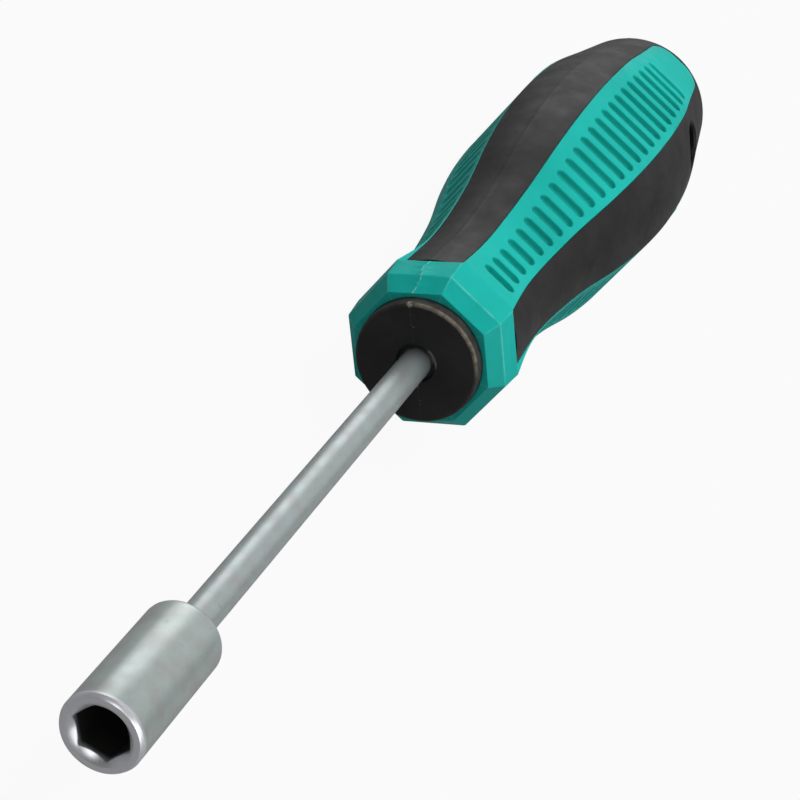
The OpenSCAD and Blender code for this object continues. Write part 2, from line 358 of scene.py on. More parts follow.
class NodeSheet(NodeBench):
    """A material for one finish, whose colour is laid on tone by tone."""

    def __init__(self, name: str, tone: Tone) -> None:
        """Starts a material with a Principled shader.

        Args:
            name: Name of the material.
            tone: The colour to start from.
        """
        self.material = bpy.data.materials.new(name)
        self.material.use_nodes = True
        super().__init__(self.material.node_tree)
        self.shader = self.node("BsdfPrincipled")
        self.output = self.node("OutputMaterial", {0: self.shader.outputs[0]})
        self.place = self.node("TexCoord").outputs["Object"]
        self.colour: Socket | tuple = srgb(tone)

    def paint(self, tone: Tone, *shares: Socket, dim: float = 1.0) -> None:
        """Lays a tone, dimmed by a factor, over the colour so far, where all the masks are 1."""
        over = {0: self.product(*shares), 6: self.colour, 7: srgb(tone, dim)}
        self.colour = self.node("Mix", over, data_type="RGBA").outputs[2]

    def stretched(self, scale: Point) -> Socket:
        """The piece's own coordinates, scaled along each axis."""
        return self.node("Mapping", {"Vector": self.place, "Scale": scale}).outputs[0]

    def noise(self, blots: Blots, place: Socket | None = None) -> Socket:
        """A noise pattern, 0 to 1, at some coordinates or else at the piece's own."""
        return self.node("TexNoise", {"Vector": place or self.place, "Scale": 1 / (blots.size * MM),
                                      "Detail": blots.detail, "Roughness": blots.rough}).outputs[0]

    def mask(self, blots: Blots, place: Socket | None = None) -> Socket:
        """A noise pattern's mask, at some coordinates or else at the piece's own."""
        return self.ramp(self.noise(blots, place), blots.low, blots.high, blots.least, blots.most)

    def ramp(self, value: Socket, low: float, high: float, least: float = 0.0, most: float = 1.0) -> Socket:
        """Maps a value from the range low to high to the range least to most, and holds it there."""
        return self.node("MapRange", {"Value": value, 1: low, 2: high, 3: least, 4: most}).outputs[0]

    def along(self, low_mm: float, high_mm: float) -> Socket:
        """Mask that rises from 0 to 1 between two places along the tool, in either order."""
        return self.ramp(self.node("SeparateXYZ", {0: self.place}).outputs[0], low_mm * MM, high_mm * MM)

    def off_axis(self, low_mm: float, high_mm: float) -> Socket:
        """Mask that rises from 0 to 1 between two distances from the tool's axis, in either order."""
        far = self.vector("LENGTH", self.vector("MULTIPLY", self.place, (0.0, 1.0, 1.0)))
        return self.ramp(far, low_mm * MM, high_mm * MM)

    def on_parting(self, half_mm: float) -> Socket:
        """Mask of the line in which the two halves of the mould meet."""
        off = self.maths("ABSOLUTE", self.vector("DOT_PRODUCT", self.place, HOLE_AXIS))
        return self.ramp(off, half_mm * MM, half_mm * 0.5 * MM)

    def toward(self, direction: Point, low: float, high: float) -> Socket:
        """Mask of the side that faces a direction: it rises from the cosine low to the cosine high."""
        unit = self.vector("NORMALIZE", self.vector("MULTIPLY", self.place, (0.0, 1.0, 1.0)))
        return self.ramp(self.vector("DOT_PRODUCT", unit, direction), low, high)

    def near_hole(self, at_mm: float, far_mm: float, near_mm: float) -> Socket:
        """Mask that rises toward the axis of the hanging hole, which is always in shade.

        Args:
            at_mm: The hole's place along the tool.
            far_mm: Distance from its axis at which the mask starts.
            near_mm: Distance at which it is 1.

        Returns:
            The mask.
        """
        off = self.vector("SUBTRACT", self.place, (at_mm * MM, 0.0, 0.0))
        away = self.vector("LENGTH", self.vector("CROSS_PRODUCT", off, HOLE_AXIS))
        return self.ramp(away, far_mm * MM, near_mm * MM)

    def octagon_edges(self, half_mm: float, radius_mm: float) -> Socket:
        """Mask of the lines in which the eight flats of the collar meet.

        Args:
            half_mm: Half of a line's width.
            radius_mm: Distance of the lines from the tool's axis.

        Returns:
            The mask.
        """
        parts = self.node("SeparateXYZ", {0: self.place}).outputs
        turn = self.maths("DIVIDE", self.maths("ARCTAN2", parts[1], parts[2]), math.pi / 4)
        share = self.maths("FRACT", self.maths("ADD", turn, 8.0))
        off = self.maths("ABSOLUTE", self.maths("SUBTRACT", share, 0.5))
        reach = half_mm / (radius_mm * math.pi / 4)
        return self.ramp(off, reach, reach * 0.3)

    def finish(self, rough: Socket | float, layers: list[tuple[Socket, float]],
               **levels: float) -> bpy.types.Material:
        """Gives the shader its colour, roughness and relief.

        Args:
            rough: Roughness.
            layers: Heights from 0 to 1 with the depth of each in millimetres.
            levels: Values for other inputs, whose names have _ for a space.

        Returns:
            The material.
        """
        values = {"Base Color": self.colour, "Roughness": rough}
        values |= {key.replace("_", " "): level for key, level in levels.items()}
        for height, depth_mm in layers:
            inputs = {"Height": height, "Strength": 1.0, "Distance": depth_mm * MM}
            if "Normal" in values:
                inputs["Normal"] = values["Normal"]
            values["Normal"] = self.node("Bump", inputs).outputs[0]
        self.fill(self.shader, values)
        return self.material


@dataclass(frozen=True)
class SoftGripFinish:
    """Teal thermoplastic rubber: matt and faintly grained, with torn flash and painted highlights on the
    collar's corners and front ridge.
    """

    lit: Tone = (20, 178, 168)
    deep: Tone = (14, 166, 156)
    flash: Tone = (160, 220, 212)
    wear_and_highlight: Tone = (104, 208, 198)
    speck_dim: float = 0.8
    cloud: Blots = Blots(14, 4, 0.6, 0.35, 0.65)
    specks: Blots = Blots(0.9, 2, 0.6, 0.70, 0.76, 0.0, 0.35)
    torn: Blots = Blots(0.8, 2, 0.6, 0.36, 0.56)
    corner_highlight_patches: Blots = Blots(1.6, 3, 0.5, 0.35, 0.6, 0.05, 0.4)
    ridge_highlight_patches: Blots = Blots(1.9, 3, 0.5, 0.35, 0.6, 0.1, 0.6)
    rough: Blots = Blots(2.5, 3, 0.5, 0.3, 0.7, 0.46, 0.6)
    swell: Blots = Blots(3.0, 2)
    swell_depth: float = 0.02
    grain: Blots = Blots(0.12, 2)
    grain_depth: float = 0.006
    gloss: float = 0.22
    collar_end: Spot = (94.6, 94.2)
    collar_corner_r: float = 11.0
    edge_half: float = 0.14
    ridge_front: Spot = (89.98, 90.1)
    ridge_rear: Spot = (90.36, 90.22)
    ridge_side: Point = (0.0, -0.35, 0.94)
    ridge_cosines: Spot = (0.55, 0.85)

    def build(self) -> bpy.types.Material:
        """Makes the material.

        Returns:
            The material.
        """
        s = NodeSheet("teal_rubber", self.lit)
        s.paint(self.deep, s.mask(self.cloud))
        s.paint(self.deep, s.mask(self.specks), dim=self.speck_dim)
        s.paint(self.flash, s.node("Attribute", attribute_name="flash").outputs["Fac"], s.mask(self.torn))
        # painted highlight along the corners of the collar's octagon, broken up in patches
        corners = s.octagon_edges(self.edge_half, self.collar_corner_r)
        s.paint(self.wear_and_highlight, corners, s.along(*self.collar_end), s.mask(self.corner_highlight_patches))
        # painted highlight on the upper side of the ridge where the collar's bevel meets its flats
        ridge = s.product(s.along(*self.ridge_front), s.along(*self.ridge_rear))
        s.paint(self.wear_and_highlight, ridge, s.toward(self.ridge_side, *self.ridge_cosines), s.mask(self.ridge_highlight_patches))
        relief = [(s.noise(self.swell), self.swell_depth), (s.noise(self.grain), self.grain_depth)]
        return s.finish(s.mask(self.rough), relief, Specular_IOR_Level=self.gloss)


@dataclass(frozen=True)
class HardBodyFinish:
    """Black moulded plastic with a fine spark-eroded grain, mottled and worn along the parting line, with
    painted highlights on the nose and painted shade in the hanging hole.
    """

    shade: Tone = (36, 36, 36)
    pale: Tone = (45, 45, 45)
    wear_and_highlight: Tone = (58, 56, 54)
    bright: Tone = (116, 108, 96)
    flash: Tone = (140, 135, 125)
    hole_shade: Tone = (17, 18, 17)
    streak_dim: float = 0.62
    streak_lay: Point = (0.16, 1.0, 1.0)
    cloud: Blots = Blots(7, 4, 0.65, 0.38, 0.68)
    streaks: Blots = Blots(1.6, 3, 0.6, 0.62, 0.78, 0.0, 0.5)
    patches: Blots = Blots(0.9, 3, 0.6, 0.38, 0.6, 0.35, 1.0)
    seam: Blots = Blots(0.9, 2, 0.5, 0.3, 0.6, 0.2, 0.8)
    torn: Blots = Blots(0.45, 2, 0.5, 0.42, 0.52)
    specks: Blots = Blots(0.35, 1, 0.5, 0.68, 0.72)
    rough: Blots = Blots(4.5, 4, 0.6, 0.3, 0.7, 0.42, 0.58)
    swell: Blots = Blots(4.0, 3)
    swell_depth: float = 0.03
    grain: Blots = Blots(0.16, 2)
    grain_depth: float = 0.009
    gloss: float = 0.20
    wall_from: Spot = (88.2, 88.0)
    wall_out: Spot = (7.7, 7.95)
    edge_from: Spot = (86.55, 86.4)
    edge_out: Spot = (7.75, 7.88)
    edge_side: Point = (0.0, -0.05, 1.0)
    edge_cosines: Spot = (0.60, 0.80)
    face_from: Spot = (86.9, 86.5)
    lip_highlight_rings: tuple = ((2.6, 2.8), (2.1, 2.22))
    ring_fade: float = 0.12
    lip_side: Point = (0.0, -0.45, 0.89)
    lip_cosines: Spot = (0.84, 0.95)
    seam_half: float = 0.08
    nub_half: float = 0.45
    nub_out: Spot = (7.6, 7.8)
    nub_side: Point = (0.0, 0.7071, 0.7071)
    nub_cosines: Spot = (0.0, 0.1)
    specks_half: float = 0.4
    hole_at: float = 171.5
    hole_near: Spot = (4.0, 3.85)

    def build(self) -> bpy.types.Material:
        """Makes the material.

        Returns:
            The material.
        """
        s = NodeSheet("black_plastic", self.shade)
        s.paint(self.pale, s.mask(self.cloud))
        s.paint(self.shade, s.mask(self.streaks, s.stretched(self.streak_lay)), dim=self.streak_dim)
        self.wear(s, s.mask(self.patches))
        # painted shade in the hanging hole and its sunk rim
        s.paint(self.hole_shade, s.near_hole(self.hole_at, *self.hole_near))
        relief = [(s.noise(self.swell), self.swell_depth), (s.noise(self.grain), self.grain_depth)]
        return s.finish(s.mask(self.rough), relief, Specular_IOR_Level=self.gloss)

    def wear(self, s: NodeSheet, patchy: Socket) -> None:
        """Lightens the nose's wall in patches, paints a highlight on the upper side of its front edge and
        highlight arcs on the shaft hole's lip, and tears the parting line.

        Args:
            s: The material's sheet.
            patchy: Mask that breaks the wear up.
        """
        s.paint(self.wear_and_highlight, s.along(*self.wall_from), s.off_axis(*self.wall_out), patchy)
        # painted highlight on the upper side of the nose's front edge, broken up in patches
        edge = s.product(s.along(*self.edge_from), s.off_axis(*self.edge_out))
        s.paint(self.bright, edge, patchy, s.toward(self.edge_side, *self.edge_cosines))
        face = s.along(*self.face_from)
        # painted highlight arcs on the upper side of the shaft hole's lip, in the flash tone
        lit_side = s.toward(self.lip_side, *self.lip_cosines)
        for near, far in self.lip_highlight_rings:
            ring = s.product(s.off_axis(near - self.ring_fade, near), s.off_axis(far + self.ring_fade, far))
            s.paint(self.flash, face, ring, lit_side, patchy)
        s.paint(self.wear_and_highlight, s.on_parting(self.seam_half), face, s.mask(self.seam))
        nub = s.product(s.off_axis(*self.nub_out), s.toward(self.nub_side, *self.nub_cosines))
        s.paint(self.flash, s.on_parting(self.nub_half), face, nub, s.mask(self.torn))
        s.paint(self.flash, s.on_parting(self.specks_half), face, s.mask(self.specks))


class Lay(Enum):
    """Which way the tool marks run on a steel piece, as the stretch of their noise."""

    ROUND = (1.0, 0.04, 0.04)
    ALONG = (0.03, 1.0, 1.0)


@dataclass(frozen=True)
class SteelFinish:
    """Satin steel with fine tool marks in one direction and faint handling stains."""

    name: str
    lay: Lay
    tone: Tone
    rough_range: Spot
    stain: Tone = (184, 188, 187)
    dim: float = 0.72
    cloud: Blots = Blots(2.4, 4, 0.6, 0.38, 0.66)
    spots: Blots = Blots(0.7, 2, 0.5, 0.68, 0.76, 0.0, 0.3)
    rough: Blots = Blots(2.2, 3)
    marks: Blots = Blots(0.12, 3, 0.6)
    grain: Blots = Blots(0.2, 2)
    depth: float = 0.003
    metallic: float = 0.60
    hollow: bool = False
    mouth: Tone = (225, 226, 231)
    mouth_highlight_end: Spot = (0.95, 0.7)
    inside: Tone = (70, 70, 68)
    inside_shade_from: Spot = (0.8, 1.3)
    hollow_out: Spot = (3.4, 3.2)
    darkening_ramp: Spot | None = None

    def build(self) -> bpy.types.Material:
        """Makes the material. A hollow piece has a painted highlight on its mouth and painted shade inside.

        Returns:
            The material.
        """
        s = NodeSheet(self.name, self.tone)
        s.paint(self.stain, s.mask(self.cloud))
        s.paint(self.tone, s.mask(self.spots), dim=self.dim)
        if self.hollow:
            # painted highlight: a lighter tone over the socket's mouth
            s.paint(self.mouth, s.along(*self.mouth_highlight_end))
            # painted shade over the inside of the hexagon and the bore
            s.paint(self.inside, s.off_axis(*self.hollow_out), s.along(*self.inside_shade_from))
        # darker from the first place to the second and on past it; on the shaft this is towards the nose
        if self.darkening_ramp:
            s.paint(self.tone, s.along(*self.darkening_ramp), dim=self.dim)
        marks = s.noise(self.marks, s.stretched(self.lay.value))
        rough = s.ramp(s.noise(self.rough), self.rough.low, self.rough.high, *self.rough_range)
        relief = [(marks, self.depth), (s.noise(self.grain), self.depth)]
        return s.finish(rough, relief, Metallic=self.metallic)


@dataclass(frozen=True)
class CoreFinish:
    """Plain dark plastic of the hidden inner core, with a dull moulded skin."""

    shade: Tone = (54, 54, 56)
    deep: Tone = (44, 44, 46)
    cloud: Blots = Blots(6, 3, 0.5, 0.35, 0.7)
    rough: Blots = Blots(2, 2, 0.5, 0.3, 0.7, 0.5, 0.65)
    grain: Blots = Blots(0.3, 2)
    grain_depth: float = 0.01

    def build(self) -> bpy.types.Material:
        """Makes the material.

        Returns:
            The material.
        """
        s = NodeSheet("core_plastic", self.shade)
        s.paint(self.deep, s.mask(self.cloud))
        return s.finish(s.mask(self.rough), [(s.noise(self.grain), self.grain_depth)])


# the handle's shared curve


@dataclass
class HandleCurve:
    """Side profile of the handle and of the flat strips on it."""

    reach: float = 86.0
    handle_len: float = 112.0
    nose_d: float = 16.4
    collar_front: float = 88.0
    collar_rear: float = 94.4
    collar_rear_af: float = 21.4
    dome_d: float = 24.4
    dome_len: float = 11.6
    dome_join: float = 10.0
    strip_neck_w: float = 7.8
    strip_flare: float = 0.42
    strip_root_flare: float = 0.25
    strip_proud: float = 0.08
    rear_proud: float = -0.06
    strip_t: float = 1.8
    strip_overrun: float = 0.3
    corner_r: float = 2.6
    play: float = 0.03
    blend: float = 0.35
    rounding_lead: float = 6.0
    rounding_len: float = 12.0
    rounding_clear: float = 0.06
    rounding_far: float = 2.0
    belly_station: int = 5
    shares: tuple = (0.0, 0.134, 0.283, 0.411, 0.522, 0.639, 0.783, 0.9, 1.0)
    diameters: tuple = (21.5, 20.6, 23.4, 28.1, 30.9, 31.9, 30.6, 27.1)

    def __post_init__(self) -> None:
        """Works out the places that follow from the sizes."""
        join = math.radians(self.dome_join)
        self.end = self.reach + self.handle_len
        self.dome_centre = self.end - self.dome_len
        self.dome_start = self.dome_centre + self.dome_len * math.sin(join)
        self.grip_len = self.dome_start - self.collar_rear
        radii = [d / 2 for d in self.diameters] + [self.dome_d / 2 * math.cos(join)]
        self.stations = [(self.collar_rear + self.grip_len * s, r) for s, r in zip(self.shares, radii)]
        self.belly_at = self.stations[self.belly_station][0]
        self.strip_end = self.dome_start + self.strip_overrun
        self.straight_end = self.strip_end - self.corner_r
        self.neck_r = self.diameters[1] / 2

    def slope(self, k: int) -> float:
        """Slope of the curve at station k."""
        a, b = self.stations[max(k - 1, 0)], self.stations[min(k + 1, len(self.stations) - 1)]
        return (b[1] - a[1]) / (b[0] - a[0])

    def radius(self, x: float) -> float:
        """Radius over the black panels.

        Args:
            x: Place along the tool.

        Returns:
            The radius, from a smooth cubic through the stations or from the dome.
        """
        if x >= self.dome_start:
            out = (x - self.dome_centre) / self.dome_len
            return self.dome_d / 2 * math.sqrt(max(0.0, 1 - out * out))
        st = self.stations
        i = max(k for k in range(len(st) - 1) if k == 0 or st[k][0] <= x)
        h = st[i + 1][0] - st[i][0]
        t = max(0.0, (x - st[i][0]) / h)
        return ((2 * t**3 - 3 * t**2 + 1) * st[i][1] + (t**3 - 2 * t**2 + t) * h * self.slope(i)
                + (3 * t**2 - 2 * t**3) * st[i + 1][1] + (t**3 - t**2) * h * self.slope(i + 1))

    def root_share(self, x: float) -> float:
        """How far a strip still follows the collar's flat: 1 at the collar, 0 from the neck on."""
        return max(0.0, 1 - (x - self.collar_rear) / (self.grip_len * self.shares[1])) ** 2

    def half_width(self, x: float) -> float:
        """Half width of a strip at the place x, without its rounded end."""
        plain = self.strip_neck_w / 2 + (self.radius(x) - self.neck_r) * self.strip_flare
        return plain + self.strip_root_flare * self.root_share(x)

    def proud(self, x: float) -> float:
        """How far a strip's edges stand out of the panels: less and less towards the belly."""
        share = min(1.0, max(0.0, (x - self.stations[1][0]) / (self.belly_at - self.stations[1][0])))
        return self.strip_proud + (self.rear_proud - self.strip_proud) * share

    def edge_height(self, x: float) -> float:
        """Height of a flat whose edges stand just proud of the panels."""
        return math.sqrt((self.radius(x) + self.proud(x)) ** 2 - self.half_width(x) ** 2)

    def height(self, x: float) -> float:
        """Height of a strip's flat top over the tool's axis.

        Args:
            x: Place along the tool.

        Returns:
            The height, which rises to the panels' radius behind the belly.
        """
        edge = self.edge_height(x)
        crown = max(0.0, x - self.belly_at) / (self.strip_end - self.belly_at)
        root = self.collar_rear_af / 2 - self.edge_height(self.collar_rear)
        return edge + (self.radius(x) + self.proud(x) - edge) * crown + root * self.root_share(x)

    def envelope(self, x: float) -> float:
        """Radius of the turned shape that rounds the strips' edges behind the belly."""
        fade = max(0.0, 1 - max(0.0, x - self.belly_at + self.rounding_lead) / self.rounding_len)
        return self.radius(x) + self.proud(x) + self.rounding_clear + self.rounding_far * fade

    def top(self, x: float, across: float) -> float:
        """Height of a strip's surface at a distance from its middle line."""
        dome = math.sqrt(max(0.0, self.envelope(x) ** 2 - across * across))
        return smooth_min(self.height(x), dome, self.blend)


# socket and shaft


@dataclass
class SocketHead:
    """Turned steel socket: ringed mouth, lead-in cone, hexagon, screw bore and rounded rear."""

    length: float = 18.5
    diameter: float = 9.0
    hex_af: float = 5.6
    hex_depth: float = 7.0
    hex_corner_cut: float = 0.06
    lead_in: float = 0.75
    land: float = 0.05
    mouth_edge_len: float = 0.5
    mouth_edge_h: float = 0.2
    mouth_round: float = 0.12
    mouth_knee: float = 0.22
    knee_round: float = 0.1
    rear_r: float = 0.8
    seat_edge_w: float = 0.28
    seat_edge_len: float = 0.22
    seat_round: float = 0.06
    bore_d: float = 5.0
    bore_len: float = 3.0
    drill_slope: float = 31.0
    shaft_d: float = 4.0
    shaft_play: float = 0.02
    press_len: float = 5.5
    lead_shares: Spot = (0.5, 0.94)
    hex_front: Spot = (0.04, 0.3)
    hex_rows: Spot = (2.0, 4.5)
    corner_turn: float = 0.7
    corner_lead: float = 3.0
    flat_cols: int = 18
    cuts: int = 5
    sharp: float = 32.0

    def columns(self) -> list[float]:
        """Angles of the columns, with three close together at each corner of the hexagon.

        Returns:
            The angles, in radians.
        """
        flat = steps(self.corner_lead, 60 - self.corner_lead, self.flat_cols)
        inside = [-self.corner_turn, 0.0, self.corner_turn, *flat]
        return [math.radians(60 * k) + math.radians(a) for k in range(6) for a in inside]

    def hex_radius(self, turn: float) -> float:
        """Distance from the axis to the hexagon's wall in a direction.

        Args:
            turn: Angle of the direction.

        Returns:
            The distance, with the corners slightly cut back.
        """
        off = math.fmod(turn + math.pi * 2 + math.pi / 6, math.pi / 3) - math.pi / 6
        flat = math.pi / 6 - abs(off)
        corner = self.hex_af / 2 / math.cos(math.pi / 6) - self.hex_corner_cut
        return min(self.hex_af / 2 / math.cos(flat), corner)

    def build(self) -> bpy.types.Object:
        """Makes the socket's mesh.

        Returns:
            The socket.
        """
        mesh = PatchMesh()
        turns = self.columns()
        r, lead_r, land = self.diameter / 2, self.hex_af / 2 + self.lead_in, self.land
        seat = self.length - self.press_len
        hole_r = self.shaft_d / 2 + self.shaft_play
        outside = rounded_profile([
            (0.0, lead_r + land, 0), (0.0, r - self.mouth_edge_h - land, self.mouth_round),
            (self.mouth_knee, r - self.mouth_round, self.knee_round),
            (self.mouth_edge_len, r, self.mouth_round), (self.length, r, self.rear_r),
            (self.length, hole_r + self.seat_edge_w, self.seat_round),
            (self.length - self.seat_edge_len, hole_r, land), (seat, hole_r, 0.0)], self.cuts)
        mesh.patch(mesh.rings(outside, turns), closed=True)
        mesh.fan([around(hole_r, t, seat) for t in turns], (seat, 0.0, 0.0))
        self.inside(mesh, turns)
        return mesh.to_object("turned_socket", self.sharp)

    def inside(self, mesh: PatchMesh, turns: list[float]) -> None:
        """Adds the lead-in cone, the hexagon and the screw bore.

        Args:
            mesh: The socket's mesh.
            turns: Angles of the columns.
        """
        lead_r, bore_r, deep = self.hex_af / 2 + self.lead_in, self.bore_d / 2, self.hex_depth
        walls = [self.hex_radius(t) for t in turns]
        rings = mesh.rings([(0.0, lead_r + self.land), (0.02, lead_r)], turns)
        for share in self.lead_shares:
            rings.append([around(lead_r + (w - lead_r) * share, t, (lead_r - w) * share)
                          for t, w in zip(turns, walls)])
        for x in self.hex_front:
            rings.append([around(w, t, min(deep, x + lead_r - w)) for t, w in zip(turns, walls)])
        for x in (*self.hex_rows, deep - self.land):
            rings.append([around(w, t, x) for t, w in zip(turns, walls)])
        rings.append([around(w - self.land, t, deep) for t, w in zip(turns, walls)])
        bore_end = deep + self.bore_len
        bore = [(deep, bore_r + self.land), (deep + self.land, bore_r), (bore_end, bore_r)]
        rings += mesh.rings(bore, turns)
        mesh.patch(rings, closed=True)
        tip = bore_end + bore_r * math.tan(math.radians(self.drill_slope))
        mesh.fan(rings[-1], (tip, 0.0, 0.0))


@dataclass
class DrawnShaft:
    """Round bar from inside the socket to the end of its tang, with two pairs of pressed wings."""

    front: float = 13.02
    rear: float = 152.0
    diameter: float = 4.0
    edge: float = 0.4
    wing_w: float = 6.4
    wing_t: float = 2.0
    wing_len: float = 9.0
    wing_places: tuple = (104.4, 130.0)
    shoulder_share: float = 0.2
    rows: int = 40
    cols: int = 96
    sharp: float = 32.0

    def build(self) -> bpy.types.Object:
        """Makes the shaft's mesh, and its wings as closed plates through the bar.

        Returns:
            The shaft.
        """
        mesh = PatchMesh()
        r = self.diameter / 2
        line = [(self.front, r - self.edge)]
        line += [(x, r) for x in steps(self.front + self.edge, self.rear - self.edge, self.rows)]
        line += [(self.rear, r - self.edge)]
        rings = mesh.rings(line, steps(0, math.tau, self.cols)[:-1])
        mesh.patch(rings, closed=True)
        mesh.fan(rings[0], (self.front, 0.0, 0.0))
        mesh.fan(rings[-1], (self.rear, 0.0, 0.0))
        h, t = self.wing_w / 2, self.wing_t / 2
        for x in self.wing_places:
            a, b = x + self.wing_len * self.shoulder_share, x + self.wing_len * (1 - self.shoulder_share)
            rim = [(x, 0.0), (a, h), (b, h), (x + self.wing_len, 0.0), (b, -h), (a, -h)]
            faces = [[(*p, z) for p in rim] for z in (-t, t)]
            mesh.patch(faces, closed=True)
            for face, z in zip(faces, (-t, t)):
                mesh.fan(face, (x + self.wing_len / 2, 0.0, z))
        return mesh.to_object("drawn_shaft", self.sharp)


# black body


@dataclass
class HandleBody:
    """Black hard body: nose, four panels between the channels, hanging hole and domed butt."""

    curve: HandleCurve
    nose_edge: float = 0.4
    lip_d: float = 5.2
    lip_depth: float = 0.6
    lip_taper: float = 0.1
    lip_rounds: Spot = (0.12, 0.15)
    shaft_d: float = 4.0
    shaft_play: float = 0.03
    cavity_d: float = 15.04
    cavity_from: float = 97.98
    cavity_to: float = 162.02
    edge_r: float = 0.07
    panel_cols: int = 24
    floor_cols: int = 10
    front_rows: int = 78
    rear_rows: int = 8
    rear_gap: float = 0.05
    corner_rows: int = 8
    dome_rows: int = 16
    column_gap: float = 0.012
    spread_rounds: int = 60
    ridge_h: float = 0.02
    ridge_half: float = 0.12
    hole_back: float = 26.5
    hole_d: float = 6.5
    hole_rim: float = 0.6
    hole_lip: float = 0.16
    hole_edge: tuple = ((0.14, 0.14), (0.04, 0.02), (0.0, -0.12))
    hole_lip_sinks: tuple = ((0.45, 0.02), (0.0, 0.07))
    hole_rings: int = 4
    hole_rounds: int = 40
    hole_span: float = 7.2
    hole_rows: int = 20
    hole_skip: int = 2
    sharp: float = 38.0

    def __post_init__(self) -> None:
        """Works out the hanging hole's place and the length of its wall."""
        c = self.curve
        self.hole_at = c.end - self.hole_back
        self.wall_half = math.sqrt(c.radius(self.hole_at) ** 2 - (self.hole_d / 2) ** 2) - self.hole_rim

    def rim(self, x: float, corner: float = 0.0) -> tuple[float, float, float, float]:
        """Where a channel's edge lies.

        Args:
            x: Place along the tool, before the rounded end.
            corner: Angle along the rounded end, 0 to a quarter turn.

        Returns:
            Place and half width of the edge, and the direction out of the channel.
        """
        c = self.curve
        if x < c.straight_end:
            return (x, c.half_width(x) + c.play, 0.0, 1.0)
        w_end = c.half_width(c.straight_end)
        r = c.corner_r + c.play
        sx, sy = math.sin(corner), math.cos(corner)
        return (c.straight_end + r * sx, w_end - c.corner_r + r * sy, sx, sy)

    def floor(self, x: float) -> float:
        """Height of a channel's floor over the tool's axis."""
        c = self.curve
        return c.height(min(x, c.strip_end)) - c.strip_t - c.play

    def channel_side(self, x: float, corner: float, turn: float, side: int) -> Row:
        """One long edge of a channel: floor, wall and rounded lip up to the panel.

        Args:
            x: Place along the tool.
            corner: Angle along the rounded end.
            turn: Angle of the channel's middle.
            side: 1 or -1, which edge.

        Returns:
            The points from the floor outwards.
        """
        px, half, nx, ny = self.rim(x, corner)
        e = self.edge_r
        lip_z = math.sqrt(self.curve.radius(px + nx * e) ** 2 - (half + ny * e) ** 2)
        row = [on_side(px, side * half, self.floor(px), turn)]
        for out, drop in rounded_edge(e):
            row.append(on_side(px + nx * out, side * (half + ny * out), lip_z - drop, turn))
        return row

    def panel_turns(self, x: float, lip: float, ridged: bool) -> list[float]:
        """Angles of a panel's columns from its middle.

        Args:
            x: Place along the tool.
            lip: Distance of the panel's edge from the channel's middle line.
            ridged: True if the parting line runs along this panel.

        Returns:
            The angles in radians, the panel's two edges left out.
        """
        radius = self.curve.radius(x)
        half = math.pi / 4 - math.asin(min(1.0, lip / radius))
        turns = steps(-half, half, self.panel_cols)[1:-1]
        if ridged:
            mid = len(turns) // 2
            near = self.ridge_half / radius
            turns[mid - 1], turns[mid], turns[mid + 1] = -near, 0.0, near
        return turns

    def section(self, x: float, corner: float = 0.0) -> list[Row]:
        """A ring of the body, as four channels and four panels in turn.

        Args:
            x: Place along the tool.
            corner: Angle along the strips' rounded ends.

        Returns:
            Eight rows: channel, panel, channel and so on.
        """
        rows: list[Row] = []
        px, half, nx, ny = self.rim(x, corner)
        lip_x, lip_v = px + nx * self.edge_r, half + ny * self.edge_r
        radius = self.curve.radius(lip_x)
        for k, turn in enumerate(STRIP_TURNS):
            left = self.channel_side(x, corner, turn, -1)
            right = self.channel_side(x, corner, turn, 1)
            shares = steps(-1, 1, self.floor_cols)[1:-1]
            rows.append(left[::-1] + [on_side(px, half * f, self.floor(px), turn) for f in shares] + right)
            ridged = k % 2 == 1
            turns = self.panel_turns(lip_x, lip_v, ridged)
            lifts = [self.ridge_h if ridged and i == len(turns) // 2 else 0.0 for i in range(len(turns))]
            rows.append([around(radius + up, turn + math.pi / 4 + t, lip_x) for t, up in zip(turns, lifts)])
        return rows

    def places(self) -> list[Spot]:
        """Places of the rings along the panels.

        Returns:
            Each ring's place, and its angle on the strips' rounded ends.
        """
        c = self.curve
        first, last = self.hole_at - self.hole_span, self.hole_at + self.hole_span
        line = steps(c.collar_rear + c.play, first, self.front_rows)
        line += steps(first, last, self.hole_rows)[1:]
        line += steps(last, c.straight_end - self.rear_gap, self.rear_rows)[1:]
        corner = [(c.straight_end, math.radians(a)) for a in steps(0, 90, self.corner_rows)]
        return [(x, 0.0) for x in line] + corner

    def rim_radius(self, angle: float) -> float:
        """Radius at which the sunk rim's cone meets the panel.

        Args:
            angle: Direction round the hole.

        Returns:
            The radius, found by closing in on it.
        """
        r = self.hole_d / 2
        found = r + self.hole_rim
        for _ in range(self.hole_rounds):
            x, z = self.hole_at + found * math.cos(angle), found * math.sin(angle)
            found = r + math.sqrt(self.curve.radius(x) ** 2 - z * z) - self.wall_half
        return found

    def hole_patch(self, mesh: PatchMesh, border: Row) -> None:
        """Fills the gap left in a side panel with the hanging hole's rim and half of its wall.

        Args:
            mesh: The body's mesh.
            border: The gap's border, running round.
        """
        side = 1 if border[0][1] > 0 else -1

        def on_panel(x: float, z: float, sink: float = 0.0) -> Point:
            """Point of the panel over (x, z), or a little under it."""
            return (x, side * (math.sqrt(self.curve.radius(x) ** 2 - z * z) - sink), z)

        def beside(radius: float, angle: float) -> Spot:
            """Place and height at a radius from the hole's axis."""
            return (self.hole_at + radius * math.cos(angle), radius * math.sin(angle))

